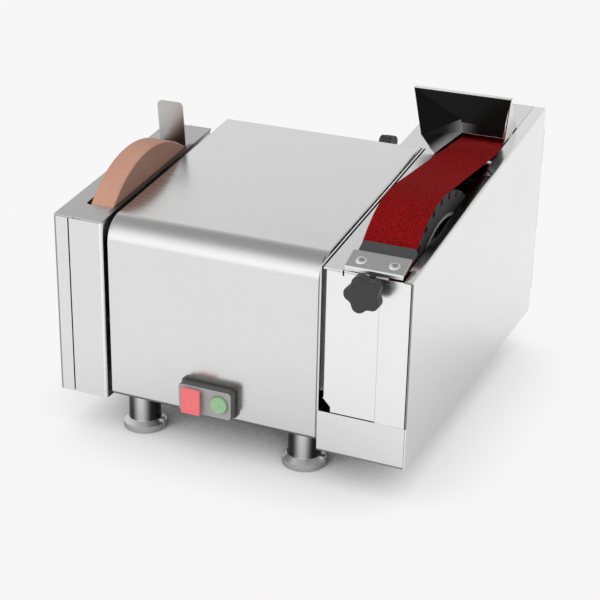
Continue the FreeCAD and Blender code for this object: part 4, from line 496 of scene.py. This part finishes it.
for lip in FOLD_LIPS:
    with_lip = put(tree, "ShaderNodeMath", operation="MAXIMUM")
    tree.links.new(paint, with_lip.inputs[0])
    tree.links.new(masked(tree, [lip]), with_lip.inputs[1])
    paint = with_lip.outputs["Value"]
# take the paint off the painted reflection patches
for patch in REFLECTION_PATCHES:
    left_on = put(tree, "ShaderNodeMath", operation="SUBTRACT", use_clamp=True)
    tree.links.new(paint, left_on.inputs[0])
    tree.links.new(masked(tree, patch), left_on.inputs[1])
    paint = left_on.outputs["Value"]
bare = put(tree, "ShaderNodeMath", operation="SUBTRACT")
bare.inputs[0].default_value = 1.0
colour = put(tree, "ShaderNodeMix", data_type="RGBA")
colour.inputs["B"].default_value = PAINT_BLACK
gloss = put(tree, "ShaderNodeMix", data_type="FLOAT")
gloss.inputs["B"].default_value = PAINT_ROUGHNESS
tree.links.new(paint, bare.inputs[1])
tree.links.new(paint, colour.inputs["Factor"])
tree.links.new(paint, gloss.inputs["Factor"])
join(tree, surface, "Color", colour, "A")
join(tree, surface, "Roughness", gloss, "A")
join(tree, colour, "Result", shader, "Base Color")
join(tree, gloss, "Result", shader, "Roughness")
join(tree, bare, "Value", shader, "Metallic")
dress(hood, "splash_hood")

# Studio: a plain pale floor under soft light that is brightest near the horizon in front and dim overhead,
# with a soft sun, seen from the photograph's place. The floor shows as white, shaded close to the machine.
FLOOR_REACH = 9.0
FLOOR_SQUARES = 8
floor_mesh = bpy.data.meshes.new("floor")
floor_shape = bmesh.new()
bmesh.ops.create_grid(floor_shape, x_segments=FLOOR_SQUARES, y_segments=FLOOR_SQUARES, size=FLOOR_REACH)
floor_shape.to_mesh(floor_mesh)
floor_shape.free()
floor = bpy.data.objects.new("floor", floor_mesh)
bpy.context.scene.collection.objects.link(floor)
CHALKY = (0.8, 0.9)
NO_RELIEF = (0.0, 0.001)
floor_paper = mottled("pale floor", dark=(0.91, 0.91, 0.91), light=(0.92, 0.92, 0.92), grain=60.0,
                      gloss=CHALKY, relief=NO_RELIEF, Specular_IOR_Level=0.0)
floor_mesh.materials.append(floor_paper)
FLOOR_WHITE = grey(0.93)
paper = floor_paper.node_tree
seen = put(paper, "ShaderNodeLightPath")
seen_or_mirrored = put(paper, "ShaderNodeMath", operation="MAXIMUM")
seen_at_all = put(paper, "ShaderNodeMath", operation="MAXIMUM")
whiteness = put(paper, "ShaderNodeMix", data_type="FLOAT")
SHADE_SAMPLES = 16
# How the floor darkens near the machine, as the camera sees it in A and as steel mirrors it in B.
SHADES = (("A", 0.15, 0.1, 0.8, 0.45), ("B", 0.5, 0.0, 0.92, 1.0))
for use, reach, darkest, lightest, fade in SHADES:
    near = put(paper, "ShaderNodeAmbientOcclusion", samples=SHADE_SAMPLES)
    near.inputs["Distance"].default_value = reach
    light_left = put(paper, "ShaderNodeMapRange")
    light_left.inputs["From Min"].default_value = darkest
    light_left.inputs["From Max"].default_value = lightest
    eased = put(paper, "ShaderNodeMath", operation="POWER")
    eased.inputs[1].default_value = fade
    join(paper, near, "AO", light_left, "Value")
    join(paper, light_left, "Result", eased, 0)
    join(paper, eased, "Value", whiteness, use)
white = put(paper, "ShaderNodeEmission")
white.inputs["Color"].default_value = FLOOR_WHITE
either = put(paper, "ShaderNodeMixShader")
join(paper, seen, "Is Camera Ray", seen_or_mirrored, 0)
join(paper, seen, "Is Glossy Ray", seen_or_mirrored, 1)
join(paper, seen_or_mirrored, "Value", seen_at_all, 0)
join(paper, seen, "Is Transmission Ray", seen_at_all, 1)
join(paper, seen, "Is Glossy Ray", whiteness, "Factor")
join(paper, whiteness, "Result", white, "Strength")
join(paper, seen_at_all, "Value", either, 0)
join(paper, paper.nodes["Principled BSDF"], "BSDF", either, 1)
join(paper, white, "Emission", either, 2)
join(paper, either, "Shader", paper.nodes["Material Output"], "Surface")

world = bpy.data.worlds.new("studio")
bpy.context.scene.world = world
world.use_nodes = True
sky = world.node_tree
direction = put(sky, "ShaderNodeTexCoord")
parts = put(sky, "ShaderNodeSeparateXYZ")
SIDE_BLEND = 0.15
facing_back = put(sky, "ShaderNodeMapRange", interpolation_type="SMOOTHSTEP")
facing_back.inputs["From Min"].default_value = -SIDE_BLEND
facing_back.inputs["From Max"].default_value = SIDE_BLEND
both = put(sky, "ShaderNodeMix", data_type="RGBA")
# Brightness of the sky by its height, in front of the machine and behind it.
FRONT_LEVELS = ((0.0, 1.22), (0.18, 1.22), (0.3, 1.17), (0.42, 1.1), (0.52, 1.0), (0.62, 0.89), (0.7, 0.75),
                (0.77, 0.59), (0.83, 0.47), (0.87, 0.39), (1.0, 0.31))
BACK_LEVELS = ((0.0, 0.87), (0.55, 0.87), (0.74, 0.38), (1.0, 0.31))
for side, levels in (("A", FRONT_LEVELS), ("B", BACK_LEVELS)):
    ramp = put(sky, "ShaderNodeValToRGB")
    ramp.color_ramp.elements[0].position = levels[0][0]
    ramp.color_ramp.elements[1].position = levels[-1][0]
    for height, _ in levels[1:-1]:
        ramp.color_ramp.elements.new(height)
    for element, (_, level) in zip(ramp.color_ramp.elements, levels):
        element.color = grey(level)
    join(sky, parts, "Z", ramp, "Fac")
    join(sky, ramp, "Color", both, side)
join(sky, direction, "Generated", parts, 0)
join(sky, parts, "Y", facing_back, "Value")
join(sky, facing_back, "Result", both, "Factor")
join(sky, both, "Result", sky.nodes["Background"], "Color")

MACHINE_MIDDLE = Vector((0.0, 0.0, 0.15))
SUN_PLACE = Vector((-0.7, -1.6, 1.6))
SUN_LEVEL = 0.9
SUN_SPREAD = math.radians(45)
sun = bpy.data.lights.new("soft sun", "SUN")
sun.energy = SUN_LEVEL
sun.angle = SUN_SPREAD
lamp = bpy.data.objects.new(sun.name, sun)
lamp.location = SUN_PLACE
lamp.visible_glossy = False
lamp.rotation_euler = (MACHINE_MIDDLE - SUN_PLACE).to_track_quat("-Z", "Y").to_euler()
bpy.context.scene.collection.objects.link(lamp)

CAMERA_PLACE = Vector((0.5604, -1.3052, 0.7125))
CAMERA_YAW = math.radians(23.54)
CAMERA_PITCH = math.radians(23.55)
CAMERA_ROLL = math.radians(-1.17)
CAMERA_LENS = 91.64
CAMERA_SENSOR = 36.0
camera_data = bpy.data.cameras.new("photo camera")
camera_data.lens = CAMERA_LENS
camera_data.sensor_width = CAMERA_SENSOR
camera = bpy.data.objects.new("photo camera", camera_data)
ahead = Vector((-math.sin(CAMERA_YAW) * math.cos(CAMERA_PITCH), math.cos(CAMERA_YAW) * math.cos(CAMERA_PITCH),
                -math.sin(CAMERA_PITCH)))
level_right = Vector((math.cos(CAMERA_YAW), math.sin(CAMERA_YAW), 0.0))
level_down = ahead.cross(level_right)
right = level_right * math.cos(CAMERA_ROLL) + level_down * math.sin(CAMERA_ROLL)
down = level_down * math.cos(CAMERA_ROLL) - level_right * math.sin(CAMERA_ROLL)
turn = Matrix((right, -down, -ahead)).transposed()
camera.matrix_world = Matrix.Translation(CAMERA_PLACE) @ turn.to_4x4()
bpy.context.scene.collection.objects.link(camera)
bpy.context.scene.camera = camera
bpy.context.scene.view_settings.view_transform = "Standard"
